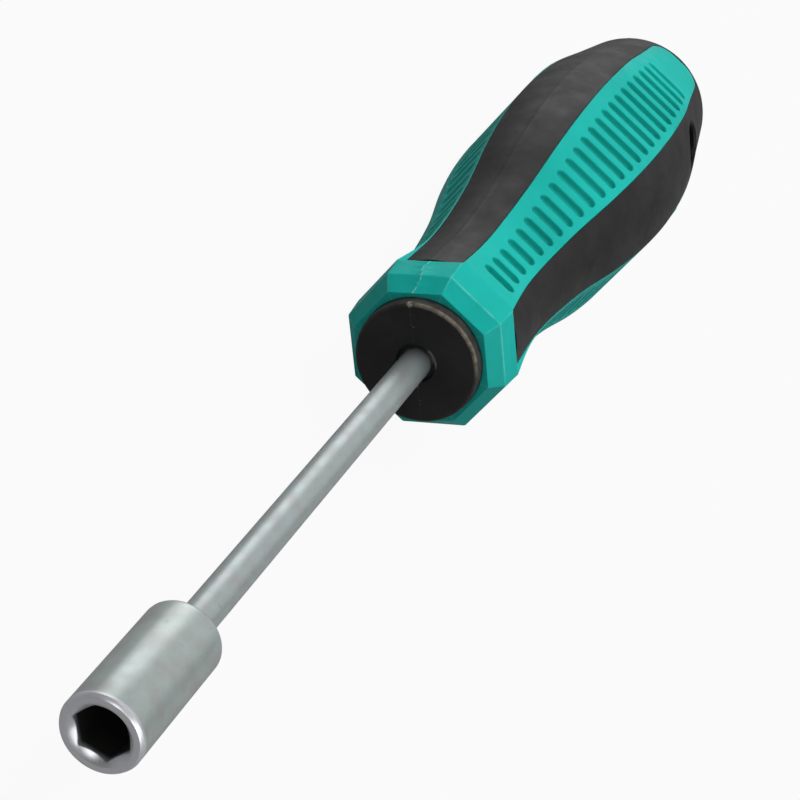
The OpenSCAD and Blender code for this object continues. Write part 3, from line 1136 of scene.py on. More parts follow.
        angles = [math.atan2(p[2], p[0] - self.hole_at) for p in border]
        rims = [self.rim_radius(a) for a in angles]
        rings: list[Row] = [border]
        for share in steps(0, 1, self.hole_rings)[1:]:
            ring = []
            for p, a, rim in zip(border, angles, rims):
                x, z = beside(rim + self.hole_lip, a)
                ring.append(on_panel(p[0] + (x - p[0]) * share, p[2] + (z - p[2]) * share))
            rings.append(ring)
        for share, sink in self.hole_lip_sinks:
            out = self.hole_lip * share
            rings.append([on_panel(*beside(rim + out, a), sink) for a, rim in zip(angles, rims)])
        r = self.hole_d / 2
        for radius, y in [*((r + out, self.wall_half + up) for out, up in self.hole_edge), (r, 0.0)]:
            spots = [beside(radius, a) for a in angles]
            rings.append([(x, side * y, z) for x, z in spots])
        mesh.patch(rings, closed=True)

    def spread(self, turns: list[float]) -> list[float]:
        """Moves the angles that share a channel's wall a little apart, so that each has its own column.

        Args:
            turns: Angles round the ring, some of them equal.

        Returns:
            Rising angles, from the first one round to where it started.
        """
        level = [turns[0]]
        for t in turns[1:]:
            while t < level[-1] - math.pi:
                t += math.tau
            level.append(t)
        for _ in range(self.spread_rounds):
            for i in range(len(level)):
                j = (i + 1) % len(level)
                ahead = level[j] + (math.tau if j == 0 else 0.0)
                short = self.column_gap - (ahead - level[i])
                if short > 0:
                    level[i] -= short / 2
                    level[j] += short / 2
        return level

    def panels(self, mesh: PatchMesh, sections: list[list[Row]]) -> None:
        """Adds the channels and panels, with the hanging hole through two of the panels.

        Args:
            mesh: The body's mesh.
            sections: The rings along the body.
        """
        first, last = self.front_rows, self.front_rows + self.hole_rows
        a, b = self.hole_skip, self.panel_cols - self.hole_skip
        for part in range(2 * STRIP_COUNT):
            nxt, prv = (part + 1) % (2 * STRIP_COUNT), part - 1
            rows = [s[part] if part % 2 == 0 else [s[prv][-1], *s[part], s[nxt][0]] for s in sections]
            if part % 4 != 1:
                mesh.patch(rows)
                continue
            mesh.patch(rows[:first + 1])
            mesh.patch(rows[last:])
            window = rows[first:last + 1]
            mesh.patch([row[:a + 1] for row in window])
            mesh.patch([row[b:] for row in window])
            border = [window[0][i] for i in range(a, b)]
            border += [window[j][b] for j in range(self.hole_rows)]
            border += [window[-1][i] for i in range(b, a, -1)]
            border += [window[j][a] for j in range(self.hole_rows, 0, -1)]
            self.hole_patch(mesh, border)

    def butt(self, mesh: PatchMesh, last: list[Row]) -> None:
        """Adds the ends of the channels and the dome behind them.

        Args:
            mesh: The body's mesh.
            last: The last ring along the body.
        """
        c = self.curve
        end_ring: Row = []
        px, half, _, _ = self.rim(c.straight_end, math.pi / 2)
        spots = [half * f for f in steps(-1, 1, self.floor_cols)]
        radius = c.radius(px + self.edge_r)
        for k, turn in enumerate(STRIP_TURNS):
            cap = [[on_side(px, v, self.floor(c.strip_end), turn) for v in spots]]
            for out, drop in rounded_edge(self.edge_r):
                cap.append([on_side(px + out, v, math.sqrt(radius**2 - v**2) - drop, turn) for v in spots])
            mesh.patch(cap)
            end_ring += cap[-1] + last[2 * k + 1]
        turns = [angle_of(p) for p in end_ring]
        lifts = [math.hypot(p[1], p[2]) - c.radius(p[0]) for p in end_ring]
        start = math.asin((end_ring[0][0] - c.dome_centre) / c.dome_len)
        dome: list[Row] = [end_ring]
        for b in steps(start, math.pi / 2, self.dome_rows)[1:-1]:
            x = c.dome_centre + c.dome_len * math.sin(b)
            dome.append([around(c.radius(x) + up * math.cos(b), t, x) for t, up in zip(turns, lifts)])
        mesh.patch(dome, closed=True)
        mesh.fan(dome[-1], (c.end, 0.0, 0.0))

    def nose(self, mesh: PatchMesh, first: Row) -> None:
        """Adds the nose, the shaft's hole and the cavity for the core.

        Args:
            mesh: The body's mesh.
            first: The body's first ring, at the collar's rear.
        """
        c = self.curve
        lip_at, hole_r = c.reach + self.lip_depth, self.shaft_d / 2 + self.shaft_play
        line = rounded_profile([
            (c.collar_rear + c.play, c.nose_d / 2, 0), (c.reach, c.nose_d / 2, self.nose_edge),
            (c.reach, self.lip_d / 2, self.lip_rounds[0]),
            (lip_at, self.lip_d / 2 - self.lip_taper, self.lip_rounds[1]), (lip_at, hole_r, 0.0)])
        line += [(self.cavity_from, hole_r), (self.cavity_from, self.cavity_d / 2),
                 (self.cavity_to, self.cavity_d / 2)]
        rings = [first] + mesh.rings(line, self.spread([angle_of(p) for p in first]))
        mesh.patch(rings, closed=True)
        mesh.fan(rings[-1], (self.cavity_to, 0.0, 0.0))

    def build(self) -> bpy.types.Object:
        """Makes the body's mesh.

        Returns:
            The body.
        """
        mesh = PatchMesh()
        sections = [self.section(x, corner) for x, corner in self.places()]
        self.panels(mesh, sections)
        self.butt(mesh, sections[-1])
        self.nose(mesh, [p for row in sections[0] for p in row])
        return mesh.to_object("moulded_body", self.sharp)


# teal grip


class Mark(NamedTuple):
    """A point of a flat template, and how it follows the strip that it becomes part of."""

    along: float = 0.0
    span_share: float = 0.0
    width_share: float = 0.0
    across: float = 0.0
    drop: float = 0.0
    depth_share: float = 0.0
    flat: float = 0.0


def half_turned(marks: list[Mark]) -> list[Mark]:
    """Marks followed by the same marks after half a turn in the strip's plane."""
    return marks + [Mark(-k.along, -k.span_share, -k.width_share, -k.across, *k[4:]) for k in marks]


def carrier(name: str, points: Row, edges: list, faces: list,
            sizes: dict[str, list[float]]) -> bpy.types.Object:
    """Makes a scratch object whose points carry named numbers.

    Args:
        name: Name of the object.
        points: Its points, in metres.
        edges: Its edges.
        faces: Its faces.
        sizes: A number for each point, by name.

    Returns:
        The object.
    """
    mesh = bpy.data.meshes.new(name)
    mesh.from_pydata(points, edges, faces)
    for label, values in sizes.items():
        mesh.attributes.new(label, "FLOAT", "POINT").data.foreach_set("value", values)
    return put_in_scene(name, mesh)


@dataclass
class GripStrips:
    """Four flat strips with rows of round-ended grooves, made by a Geometry Nodes tree."""

    curve: HandleCurve
    pitch: float = 3.3
    start: float = 4.5
    stop: float = 12.0
    groove_w: float = 1.8
    row_shift: float = -0.5
    depth: float = 0.9
    margin: float = 1.6
    edge_r: float = 0.10
    fade_from: float = 163.0
    fade_to: float = 178.0
    fade_least: float = 0.45
    rail_step: float = 0.2
    rail_lead: float = 1.0
    straight_cols: int = 6
    arc_cols: int = 16
    flat_share: float = 0.62
    drawn_half: float = 5.0
    lead_rows: int = 5
    tail_rows: int = 12
    corner_rows: int = 8
    loops: tuple = ((0.30, 0.0), (0.12, 0.0), (0.05, 0.03), (-0.01, 0.14), (-0.05, 0.45),
                    (-0.15, 0.74), (-0.36, 0.87))

    def __post_init__(self) -> None:
        """Works out how many grooves fit on a strip, and where the plain ends start and stop."""
        c = self.curve
        self.count = math.floor((c.strip_end - self.stop - c.collar_rear - self.start) / self.pitch) + 1
        self.first = c.collar_rear + self.start
        self.root = c.collar_rear + c.play

    def outer_shares(self) -> list[float]:
        """Shares of the half width beside the grooves' straight stretch."""
        return steps(self.flat_share, 1, self.arc_cols // 4)[1:]

    def top_shares(self) -> list[float]:
        """Shares of the half width at which the columns of a strip's top lie, from edge to edge."""
        outer, flat = self.outer_shares(), self.flat_share
        return [-v for v in outer[::-1]] + steps(-flat, flat, self.straight_cols) + outer

    def edge_points(self) -> list[Point]:
        """Rounded edge and wall of a strip, as (inset from the edge, drop from the top, 1 at its foot)."""
        foot = (0.0, self.curve.strip_t, 1.0)
        return [(drop, out, 0.0) for out, drop in rounded_edge(self.edge_r)[1:]] + [foot]

    def fade(self, x: float) -> float:
        """Share of the full depth that a groove has at the place x: the last few are shallower."""
        t = min(1.0, max(0.0, (x - self.fade_from) / (self.fade_to - self.fade_from)))
        return 1 - (1 - self.fade_least) * t

    def rail(self) -> bpy.types.Object:
        """A line of points along the tool that carries the strips' sizes from place to place.

        Returns:
            The rail.
        """
        c = self.curve
        first, last = c.collar_rear - self.rail_lead, c.strip_end + 2 * self.rail_step
        places = [first + i * self.rail_step for i in range(int((last - first) / self.rail_step) + 2)]
        held = [min(max(x, c.collar_rear), c.strip_end) for x in places]
        kinds = {"half_width": c.half_width, "height": c.height, "envelope": c.envelope, "sink": self.fade}
        sizes = {name: [size(x) for x in held] for name, size in kinds.items()}
        edges = [(i, i + 1) for i in range(len(places) - 1)]
        return carrier("strip_rail", [(x * MM, 0, 0) for x in places], edges, [], sizes)

    def template(self, name: str, patches: list[list[list[Mark]]]) -> bpy.types.Object:
        """Makes a flat template, whose points say how they follow the strip.

        Args:
            name: Name of the template.
            patches: Patches of rows of marks.

        Returns:
            The template object.
        """
        marks: list[Mark] = []
        faces: list[tuple[int, ...]] = []
        for rows in patches:
            faces += quads(len(marks), len(rows), len(rows[0]))
            marks += [mark for row in rows for mark in row]
        w = self.drawn_half
        points = [(k.along * MM, (k.across + k.width_share * w) * MM, -k.drop * MM) for k in marks]
        sizes = {label: [float(k[i]) for k in marks] for i, label in enumerate(Mark._fields)}
        return carrier(name, points, [], faces, sizes)

    def top_row(self, x: float) -> list[Mark]:
        """A row of marks over a strip's plain top, from edge to edge."""
        return [Mark(x, width_share=s, across=-s * self.edge_r) for s in self.top_shares()]

    def hull(self, places: list[float]) -> list[list[list[Mark]]]:
        """Edges, walls and underside of a strip between some places, as patches for a template.

        Args:
            places: Places along the tool, relative to the first groove.

        Returns:
            One patch for each long edge, and one for the underside.
        """
        line = [(self.edge_r, 0.0, 0.0), *self.edge_points()]
        patches = [[[Mark(x, 0.0, side, -side * inset, drop, 0.0, flat) for inset, drop, flat in line]
                    for x in places] for side in (-1, 1)]
        t = self.curve.strip_t
        patches.append([[Mark(x, 0.0, s, 0.0, t, 0.0, 1.0) for s in self.top_shares()] for x in places])
        return patches

    def groove_template(self) -> bpy.types.Object:
        """One pitch of a strip with its groove: loops round the groove's outline, and a laddered floor.

        Returns:
            The template.
        """
        p, r, e = self.pitch / 2, self.groove_w / 2, self.edge_r
        places = steps(p, -p, self.arc_cols // 2)
        outer = self.outer_shares()
        spans = steps(-1, 1, self.straight_cols)
        arc = [math.pi * j / self.arc_cols for j in range(1, self.arc_cols)]
        front = [self.flat_share * v for v in spans] + outer
        border = [Mark(p, width_share=s, across=-s * e) for s in front]
        border += [Mark(x, width_share=1.0, across=-e) for x in places[1:-1]]
        border += [Mark(-p, width_share=s, across=-s * e) for s in outer[::-1]]
        rows = [half_turned(border)]
        for off, sunk in self.loops:
            q = r + off
            loop = [Mark(q, s) for s in spans]
            loop += [Mark(q * math.cos(a), 1.0, across=q * math.sin(a)) for a in arc]
            rows.append([k._replace(across=k.across + self.row_shift, depth_share=sunk / self.depth)
                         for k in half_turned(loop)])
        rows = [row + row[:1] for row in rows]
        q = r + self.loops[-1][0]
        foot = self.loops[-1][1] / self.depth
        floor = ((1, foot), (0, 1.0), (-1, foot))

        def rung(half: float, span: float, across: float) -> list[Mark]:
            """A row over the groove's floor, from foot to foot, with its middle at the full depth."""
            return [Mark(s * half, span, across=self.row_shift + across, depth_share=k) for s, k in floor]

        rim = [(q * math.cos(a), q * math.sin(a)) for a in [0.0, *arc[:self.arc_cols // 2]]]
        ladder = [rung(w, 1.0, y) for w, y in rim]
        straight = [rung(q, s, 0.0) for s in spans]
        low = [rung(w, -1.0, -y) for w, y in rim]
        return self.template("groove_cell", [rows, ladder, straight, low, *self.hull(places)])

    def ends_template(self) -> bpy.types.Object:
        """The plain stretches in front of the first groove and behind the last, with the rounded end.

        Returns:
            The template.
        """
        c, e = self.curve, self.edge_r
        at = c.straight_end - self.first
        lead = [x - self.first for x in steps(self.root, self.first - self.pitch / 2, self.lead_rows)]
        tail = steps(self.pitch * (self.count - 0.5), at, self.tail_rows)
        patches = []
        for places in (lead, tail):
            patches.append([self.top_row(x) for x in places])
            patches += self.hull(places)
        core = c.half_width(c.straight_end) - c.corner_r
        corner = [math.radians(a) for a in steps(0, 90, self.corner_rows)]
        shares = self.top_shares()

        def at_end(b: float, share: float, out: float, drop: float, flat: float) -> Mark:
            """A mark at an angle of the rounded corners.

            Args:
                b: The angle.
                share: Place across, from -1 at one corner to 1 at the other.
                out: Distance out from the edge of the flat top.
                drop: Distance under the top.
                flat: 1 where the strip's crown doesn't lift it.

            Returns:
                The mark.
            """
            reach = c.corner_r - e + out
            side = share * (core + reach * math.cos(b))
            return Mark(at + reach * math.sin(b), across=side, drop=drop, flat=flat)

        line = [(0.0, 0.0, 0.0)] + [(e - inset, drop, flat) for inset, drop, flat in self.edge_points()]
        patches.append([[at_end(b, s, 0.0, 0.0, 0.0) for s in shares] for b in corner])
        patches += [[[at_end(b, side, *edge) for edge in line] for b in corner] for side in (-1, 1)]
        patches.append([[at_end(b, s, e, c.strip_t, 1.0) for s in shares] for b in corner])
        patches.append([[at_end(corner[-1], s, *edge) for s in shares] for edge in line])
        return self.template("strip_ends", patches)

    def tree(self, inputs: dict[str, str]) -> bpy.types.NodeTree:
        """Builds the Geometry Nodes tree that lays grooves in a row, bends them to the curve and
        repeats the strip round the tool. The groove's template goes in as the geometry.

        Args:
            inputs: Kinds of the tree's inputs, by name.

        Returns:
            The tree.
        """
        tree = bpy.data.node_groups.new("grooved_strips", "GeometryNodeTree")
        for label, kind in {"Geometry": "Geometry", **inputs}.items():
            tree.interface.new_socket(label, in_out="INPUT", socket_type="NodeSocket" + kind)
        tree.interface.new_socket("Geometry", in_out="OUTPUT", socket_type="NodeSocketGeometry")
        bench = NodeBench(tree)
        put, maths = bench.node, bench.maths
        given = put("NodeGroupInput").outputs

        def named(label: str) -> Socket:
            """A named attribute of the points."""
            return put("GeometryNodeInputNamedAttribute", {"Name": label}, data_type="FLOAT").outputs[0]

        def sampled(label: str, place: Socket) -> Socket:
            """A size of the rail at a place, between its two nearest points.

            Args:
                label: Name of the size.
                place: The place along the tool.

            Returns:
                The size.
            """
            spot = maths("DIVIDE", maths("SUBTRACT", place, given["Rail Start"]), given["Rail Step"])
            low = maths("FLOOR", spot)
            pair = []
            for at in (low, maths("ADD", low, 1.0)):
                inputs = {"Geometry": rail, "Value": named(label), "Index": at}
                found = put("GeometryNodeSampleIndex", inputs, data_type="FLOAT", clamp=True)
                pair.append(found.outputs[0])
            rise = maths("SUBTRACT", pair[1], pair[0])
            return maths("MULTIPLY_ADD", rise, maths("SUBTRACT", spot, low), pair[0])

        line = put("GeometryNodeMeshLine", {"Count": given["Groove Count"]}, mode="OFFSET")
        row = put("GeometryNodeInstanceOnPoints",
                  {"Points": line.outputs[0], "Instance": given["Geometry"]})
        index = put("GeometryNodeInputIndex").outputs[0]
        stored = put("GeometryNodeStoreNamedAttribute",
                     {"Geometry": row.outputs[0], "Name": "cell", "Value": index},
                     data_type="FLOAT", domain="INSTANCE")
        cells = put("GeometryNodeRealizeInstances", {0: stored.outputs[0]})
        ends = put("GeometryNodeObjectInfo", {"Object": given["Ends"]})
        joined = put("GeometryNodeJoinGeometry", {0: cells.outputs[0]})
        bench.fill(joined, {0: ends.outputs["Geometry"]})
        rail = put("GeometryNodeObjectInfo", {"Object": given["Rail"]}).outputs["Geometry"]
        middle = maths("MULTIPLY_ADD", named("cell"), given["Pitch"], given["First Groove"])
        place = maths("ADD", middle, named("along"))
        span = maths("SUBTRACT", sampled("half_width", middle), given["Margin"])
        span = maths("SUBTRACT", span, given["Groove Half Width"])
        across = maths("MULTIPLY_ADD", named("span_share"), span, named("across"))
        across = maths("MULTIPLY_ADD", named("width_share"), sampled("half_width", place), across)
        height = sampled("height", place)
        dome = maths("POWER", sampled("envelope", place), 2.0)
        dome = maths("SQRT", maths("SUBTRACT", dome, maths("MULTIPLY", across, across)))
        crowned = maths("SMOOTH_MIN", height, dome, given["Crown Blend"])
        top = maths("MULTIPLY_ADD", named("flat"), maths("SUBTRACT", height, crowned), crowned)
        sunk = bench.product(named("depth_share"), given["Groove Depth"], sampled("sink", middle))
        level = maths("SUBTRACT", maths("SUBTRACT", top, named("drop")), sunk)
        metres = [maths("MULTIPLY", v, MM) for v in (place, across, level)]
        spot = put("CombineXYZ", dict(enumerate(metres)))
        strip = put("GeometryNodeSetPosition", {"Geometry": joined.outputs[0], "Position": spot.outputs[0]})
        hub = put("GeometryNodeMeshLine",
                  {"Count": given["Strip Count"], "Offset": (0.0, 0.0, 0.0)}, mode="OFFSET")
        share = maths("DIVIDE", math.tau, given["Strip Count"])
        turn = maths("MULTIPLY", maths("MULTIPLY", maths("ADD", index, 0.5), share), -1.0)
        spin = put("CombineXYZ", {0: turn})
        ring = put("GeometryNodeInstanceOnPoints", {"Points": hub.outputs[0], "Instance": strip.outputs[0],
                                                    "Rotation": spin.outputs[0]})
        merge = {"Geometry": put("GeometryNodeRealizeInstances", {0: ring.outputs[0]}).outputs[0],
                 "Distance": MERGE_MM * MM}
        merged = put("GeometryNodeMergeByDistance", merge)
        dressed = put("GeometryNodeSetMaterial",
                      {"Geometry": merged.outputs[0], "Material": given["Finish"]})
        put("NodeGroupOutput", {0: dressed.outputs[0]})
        return tree

    def build(self, finish: bpy.types.Material) -> bpy.types.Mesh:
        """Runs the tree.

        Args:
            finish: The grip's material.

        Returns:
            The four strips as one plain mesh, in metres.
        """
        cell, ends, rail = self.groove_template(), self.ends_template(), self.rail()
        given = {
            "Groove Count": ("Int", self.count), "Strip Count": ("Int", STRIP_COUNT),
            "Pitch": ("Float", self.pitch), "First Groove": ("Float", self.first),
            "Groove Depth": ("Float", self.depth), "Groove Half Width": ("Float", self.groove_w / 2),
            "Margin": ("Float", self.margin), "Crown Blend": ("Float", self.curve.blend),
            "Rail Start": ("Float", self.curve.collar_rear - self.rail_lead),
            "Rail Step": ("Float", self.rail_step),
            "Ends": ("Object", ends), "Rail": ("Object", rail), "Finish": ("Material", finish),
        }
        worker = cell.modifiers.new("grooved_strips", "NODES")
        worker.node_group = self.tree({label: kind for label, (kind, _) in given.items()})
        for item in worker.node_group.interface.items_tree:
            if item.in_out == "INPUT" and item.name in given:
                worker[item.identifier] = given[item.name][1]
        cell.update_tag()
        bpy.context.view_layer.update()
        seen = cell.evaluated_get(bpy.context.evaluated_depsgraph_get())
        mesh = bpy.data.meshes.new_from_object(seen)
        cell.modifiers.remove(worker)
        for thing in (cell, ends, rail):
            bpy.data.objects.remove(thing)
        LOG.info("strips: %d grooves on each, %d faces", self.count, len(mesh.polygons))
        return mesh


@dataclass
class SoftGrip:
    """Teal grip: an octagonal collar with a front bevel, whose slanting flats run on as the strips."""

    curve: HandleCurve
    strips: GripStrips
    front_af: float = 17.5
    bevel_af: float = 20.7
    bevel_len: float = 2.2
    front_round: float = 0.12
    bevel_round: float = 0.5
    rear_round: float = 0.3
    rear_back: float = 0.35
    rear_drop: float = 0.03
    corner_r: float = 0.35
    corner_cols: int = 4
    bore_gap: float = 0.02
    bore_edge: float = 0.1
    panel_cols: int = 8
    ridge_h: float = 0.07
    ridge_half: float = 0.13
    inner_r: float = 9.0
    longest: float = 0.25
    flash_level: float = 0.8
    flash_share: float = 0.6
    flash_from_axis: float = 8.3
    waves: tuple = ((0.28, 1.3, 0.8), (0.07, 5.3, 0.0), (0.04, 11.7, 0.0))
    tear_level: float = 0.55
    tear_swing: float = 0.45
    tear_pace: float = 4.1
    fillet_share: float = 0.4
    join_share: float = 0.9
    cuts: int = 5
    sharp: float = 42.0

    def ring(self, x: float, half: float, lift: float = 0.0) -> list[Row]:
        """A rounded octagon round the tool, as four strip flats and four panel flats in turn.

        Args:
            x: Place along the tool.
            half: Half of the size across the flats.
            lift: Height of the torn parting line on the upper and lower flats.

        Returns:
            Eight rows: strip flat with its two corners, panel flat, and so on.
        """
        eighth = math.pi / 4
        wide = half * math.tan(eighth / 2)
        fillet = min(self.corner_r, wide * self.fillet_share)
        back = fillet * math.tan(eighth / 2)
        rows: list[Row] = []
        for k, turn in enumerate(STRIP_TURNS):
            flat = [on_side(x, s * (wide - back), half, turn) for s in self.strips.top_shares()]
            arcs: dict[int, Row] = {-1: [], 1: []}
            for side, arc in arcs.items():
                for a in steps(0, 1, self.corner_cols)[1:]:
                    t = side * eighth * a
                    v = side * (wide - back) + fillet * math.sin(t)
                    arc.append(on_side(x, v, half - fillet + fillet * math.cos(t), turn))
            rows.append(arcs[-1][::-1] + flat + arcs[1])
            spots = [(s * (wide - back), 0.0) for s in steps(-1, 1, self.panel_cols)[1:-1]]
            if k % 2 == 1:
                mid, sway = len(spots) // 2, self.sway(x)
                for i in (-1, 0, 1):
                    spots[mid + i] = (sway + i * self.ridge_half, 0.0 if i else lift)
            rows.append([on_side(x, v, half + up, turn + eighth) for v, up in spots])
        return rows

    def dense(self, line: list[Spot]) -> list[Spot]:
        """Adds points to the long stretches of a profile.

        Args:
            line: Points of the profile.

        Returns:
            The profile with its added points.
        """
        out = [line[0]]
        for a, b in zip(line, line[1:]):
            cuts = max(1, math.ceil(math.dist(a, b) / self.longest))
            out += [tuple(u + (v - u) * i / cuts for u, v in zip(a, b)) for i in range(1, cuts + 1)]
        return out

    def sway(self, x: float) -> float:
        """How far the torn parting line wanders from the middle at the place x."""
        return sum(reach * math.sin(x * pace + start) for reach, pace, start in self.waves)

    def tear(self, x: float) -> float:
        """Height of the torn parting line at the place x."""
        return self.ridge_h * (self.tear_level + self.tear_swing * math.sin(x * self.tear_pace))

    def build(self, finish: bpy.types.Material) -> bpy.types.Object:
        """Makes the grip's mesh: collar and strips in one closed skin.

        Args:
            finish: The grip's material.

        Returns:
            The grip.
        """
        c = self.curve
        mesh = PatchMesh()
        bore = c.nose_d / 2 + self.bore_gap
        mouth = (c.collar_front, bore + self.bore_edge)
        line = rounded_profile([
            (*mouth, 0), (c.collar_front, self.front_af / 2, self.front_round),
            (c.collar_front + self.bevel_len, self.bevel_af / 2, self.bevel_round),
            (c.collar_rear - self.rear_back, c.collar_rear_af / 2 - self.rear_drop, 0)], self.cuts)
        line = self.dense(line[1:])
        rings = [self.ring(x, h, self.tear(x)) for x, h in line]
        flat = [[p for part in ring for p in part] for ring in rings]
        spins = [angle_of(p) for p in flat[0]]
        hole = mesh.rings([(self.strips.root, bore), (c.collar_front + self.bore_edge, bore), mouth], spins)
        mesh.patch(hole + flat, closed=True)
        for k in range(STRIP_COUNT):
            self.rear(mesh, k, line[-1], rings[-1], hole[0])
        thing = mesh.to_object("soft_grip_moulding", self.sharp, extra=self.strips.build(finish))
        self.mark_flash(thing)
        return thing

    def rear(self, mesh: PatchMesh, k: int, base: Spot, last: list[Row], bore: Row) -> None:
        """Closes the collar's rear at one strip and the panel next to it: the strip's flat runs on to the
        strip, and the panel's flat turns in.

        Args:
            mesh: The grip's mesh.
            k: Number of the strip.
            base: Place of the collar's last ring, and half of its size across the flats.
            last: The ring.
            bore: The bore's rear ring.
        """
        c, root = self.curve, self.strips.root
        turned = []
        rows = [last[2 * k]]
        end = self.strip_ring(STRIP_TURNS[k])
        for a in (30, 60, 90):
            x = base[0] + self.rear_round * math.sin(math.radians(a))
            turned.append(self.ring(x, base[1] - self.rear_round * (1 - math.cos(math.radians(a)))))
            share = (x - base[0]) / (root - base[0]) * self.join_share
            row = [tuple(u + (v - u) * share for u, v in zip(p, q)) for p, q in zip(last[2 * k], end)]
            row[0], row[-1] = turned[-1][2 * k][0], turned[-1][2 * k][-1]
            rows.append(row)
        mesh.patch([*rows, end])
        nxt = (2 * k + 2) % len(last)
        panel_rows = [[r[2 * k][-1], *r[2 * k + 1], r[nxt][0]] for r in [last, *turned]]
        inner = [around(self.inner_r, angle_of(p), root) for p in panel_rows[-1][1:-1]]
        foot = [end[-1], *inner, self.strip_ring(STRIP_TURNS[k] + math.pi / 2)[0]]
        mesh.patch([*panel_rows, foot])
        strip_n = len(self.strips.top_shares()) + 2 * self.corner_cols
        first = k * (strip_n + self.panel_cols - 1)
        start = first + strip_n - 1
        mesh.patch([foot, [bore[(start + i) % len(bore)] for i in range(self.panel_cols + 1)]])
        w, level = c.half_width(root), c.height(root) - c.strip_t
        under = [on_side(root, s * w, level, STRIP_TURNS[k]) for s in self.strips.top_shares()]
        ends = [[under[0]] * self.corner_cols, [under[-1]] * self.corner_cols]
        mesh.patch([ends[0] + under + ends[1], bore[first:first + strip_n]])

    def strip_ring(self, turn: float) -> Row:
        """The strip's own first ring, from wall to wall over its top.

        Args:
            turn: Angle of the strip's middle.

        Returns:
            The ring.
        """
        c, st = self.curve, self.strips
        x = st.root
        w, e = c.half_width(x), st.edge_r
        top = [on_side(x, s * (w - e), c.top(x, s * (w - e)), turn) for s in st.top_shares()]
        sides: dict[int, Row] = {-1: [], 1: []}
        for side, wall in sides.items():
            for inset, drop, flat in st.edge_points():
                v = side * (w - inset)
                wall.append(on_side(x, v, (c.height(x) if flat else c.top(x, v)) - drop, turn))
        return sides[-1][::-1] + top + sides[1]

    def mark_flash(self, thing: bpy.types.Object) -> None:
        """Marks the points of the torn parting line, where the rubber shows pale.

        Args:
            thing: The grip, before it is turned.
        """
        c = self.curve
        values = []
        for v in thing.data.vertices:
            x, y, z = (q / MM for q in v.co)
            near = abs(y - self.sway(x) * math.copysign(1, z)) < self.ridge_half * self.flash_share
            marked = near and c.collar_front < x < c.collar_rear and abs(z) > self.flash_from_axis
            values.append(self.flash_level if marked else 0.0)
        thing.data.attributes.new("flash", "FLOAT", "POINT").data.foreach_set("value", values)


# studio


@dataclass(frozen=True)
class Softbox:
    """A square soft lamp: where it hangs and its side, in metres, and its power in watts."""

    name: str
    place: Point
    size: float
    watts: float

    def hang(self, target: Point) -> None:
        """Hangs the lamp. It isn't mirrored, because the surround has its own glows.

        Args:
            target: Where it points.
        """
        data = bpy.data.lights.new(self.name, "AREA")
        data.shape = "SQUARE"
        data.size = self.size
        data.energy = self.watts
        thing = put_in_scene(self.name, data)
        thing.location = self.place
        thing.rotation_euler = (Vector(target) - Vector(self.place)).to_track_quat("-Z", "Y").to_euler()
        thing.visible_glossy = False


@dataclass(frozen=True)
class Glow:
    """A soft bright stretch of the surround that steel mirrors: its direction, cosines and strength."""

    direction: Point
    start: float
    stop: float
    strength: float


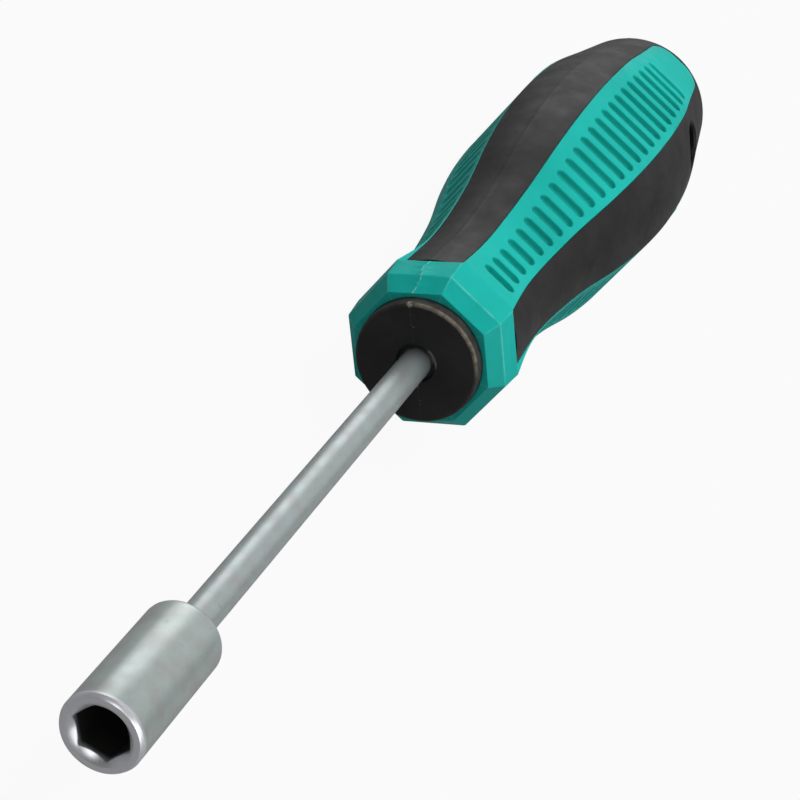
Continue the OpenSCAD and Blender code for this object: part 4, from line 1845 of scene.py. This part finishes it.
@dataclass
class Studio:
    """Camera at the photograph's angle, pale floor, soft lamps and a plain surround."""

    lens: float = 101.25
    sensor: float = 36.0
    clip: Spot = (0.01, 20.0)
    eye: Point = (-0.15372, 0.00999, 0.15108)
    right: Point = (0.35126, -0.72492, 0.59255)
    up: Point = (0.42071, 0.68759, 0.59180)
    forward: Point = (0.83643, -0.04141, -0.54650)
    floor_half: float = 3.0
    floor_gap: float = 0.0001
    floor_tone: Tone = (142, 142, 142)
    floor_rough: float = 0.9
    floor_gloss: float = 0.1
    floor_glow: float = 0.94
    surround: float = 0.25
    mirrored: float = 0.07
    centre: Point = (0.1, 0.0, 0.0)
    lamps: tuple = (Softbox("overhead_softbox", (0.36, -0.06, 1.10), 0.7, 12.7),
                    Softbox("side_softbox", (-0.1, -1.2, 0.50), 0.8, 1.6),
                    Softbox("front_softbox", (-1.1, -0.2, 0.30), 0.8, 1.1))
    glows: tuple = (Glow((0.836, 0.45, 0.31), 0.91, 0.995, 1.9),
                    Glow((0.836, -0.20, 0.49), 0.85, 0.98, 0.4),
                    Glow((-0.30, -0.77, 0.54), 0.84, 0.96, 2.8),
                    Glow((-0.54, 0.24, 0.80), 0.93, 0.985, 2.8))

    def camera(self) -> None:
        """Makes the camera."""
        data = bpy.data.cameras.new("studio_camera")
        data.lens = self.lens
        data.sensor_width = self.sensor
        data.sensor_fit = "HORIZONTAL"
        data.clip_start, data.clip_end = self.clip
        cam = put_in_scene("studio_camera", data)
        back = tuple(-v for v in self.forward)
        cam.matrix_world = Matrix((*zip(self.right, self.up, back, self.eye), (0, 0, 0, 1)))
        bpy.context.scene.camera = cam

    def floor(self) -> None:
        """Makes the floor, which shows near white to the camera and keeps a soft shadow."""
        h = self.floor_half
        z = cad_low[2] - self.floor_gap
        mesh = bpy.data.meshes.new("pale_floor")
        mesh.from_pydata([(-h, -h, z), (h, -h, z), (h, h, z), (-h, h, z)], [], [(0, 1, 2, 3)])
        thing = put_in_scene("pale_floor", mesh)
        s = NodeSheet("pale_floor", self.floor_tone)
        dress(thing, s.finish(self.floor_rough, [], Specular_IOR_Level=self.floor_gloss))
        glow = s.node("Emission", {"Color": WHITE, "Strength": 1.0}).outputs[0]
        share = s.maths("MULTIPLY", s.node("LightPath").outputs["Is Camera Ray"], self.floor_glow)
        both = s.node("MixShader", {0: share, 1: s.shader.outputs[0], 2: glow})
        s.fill(s.output, {0: both.outputs[0]})

    def lights(self) -> None:
        """Adds the lamps, and the surround, which is brighter in some directions where steel mirrors it."""
        for lamp in self.lamps:
            lamp.hang(self.centre)
        world = bpy.data.worlds.new("plain_surround")
        world.use_nodes = True
        bench = NodeBench(world.node_tree)
        sky = bench.node("TexCoord").outputs["Generated"]
        mirrored: Socket | float = self.mirrored
        for glow in self.glows:
            cosine = bench.vector("DOT_PRODUCT", sky, Vector(glow.direction).normalized())
            inputs = {0: cosine, 1: glow.start, 2: glow.stop, 3: 0.0, 4: glow.strength}
            level = bench.node("MapRange", inputs, interpolation_type="SMOOTHSTEP")
            mirrored = bench.maths("ADD", level.outputs[0], mirrored)
        ray = bench.node("LightPath").outputs
        seen = bench.node("Background", {0: WHITE, 1: self.surround})
        for label, strength in (("Is Glossy Ray", mirrored), ("Is Camera Ray", 1.0)):
            other = bench.node("Background", {0: WHITE, 1: strength})
            seen = bench.node("MixShader", {0: ray[label], 1: seen.outputs[0], 2: other.outputs[0]})
        bench.node("OutputWorld", {0: seen.outputs[0]})
        bpy.context.scene.world = world

    def build(self) -> None:
        """Sets the whole stage."""
        bpy.context.scene.view_settings.view_transform = "Standard"
        self.camera()
        self.floor()
        self.lights()


def main() -> None:
    """Builds the driver piece by piece around the frame."""
    logging.basicConfig(level=logging.INFO, format="%(name)s: %(message)s")
    Studio().build()
    curve = HandleCurve()

    socket = SocketHead().build()
    steel = SteelFinish("satin_steel", Lay.ROUND, (190, 203, 200), (0.29, 0.41), hollow=True)
    dress(socket, steel.build())
    settle(socket, "socket_head")

    shaft = DrawnShaft().build()
    steel = SteelFinish("drawn_steel", Lay.ALONG, (188, 200, 200), (0.33, 0.45), darkening_ramp=(74.0, 87.0))
    dress(shaft, steel.build())
    settle(shaft, "shaft")

    dress(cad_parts["inner_core"], CoreFinish().build())
    LOG.info("inner_core keeps its CAD solid")

    body = HandleBody(curve).build()
    dress(body, HardBodyFinish().build())
    settle(body, "handle_body")

    teal = SoftGripFinish().build()
    grip = SoftGrip(curve, GripStrips(curve)).build(teal)
    dress(grip, teal)
    settle(grip, "soft_grip")


if __name__ == "__main__":
    main()
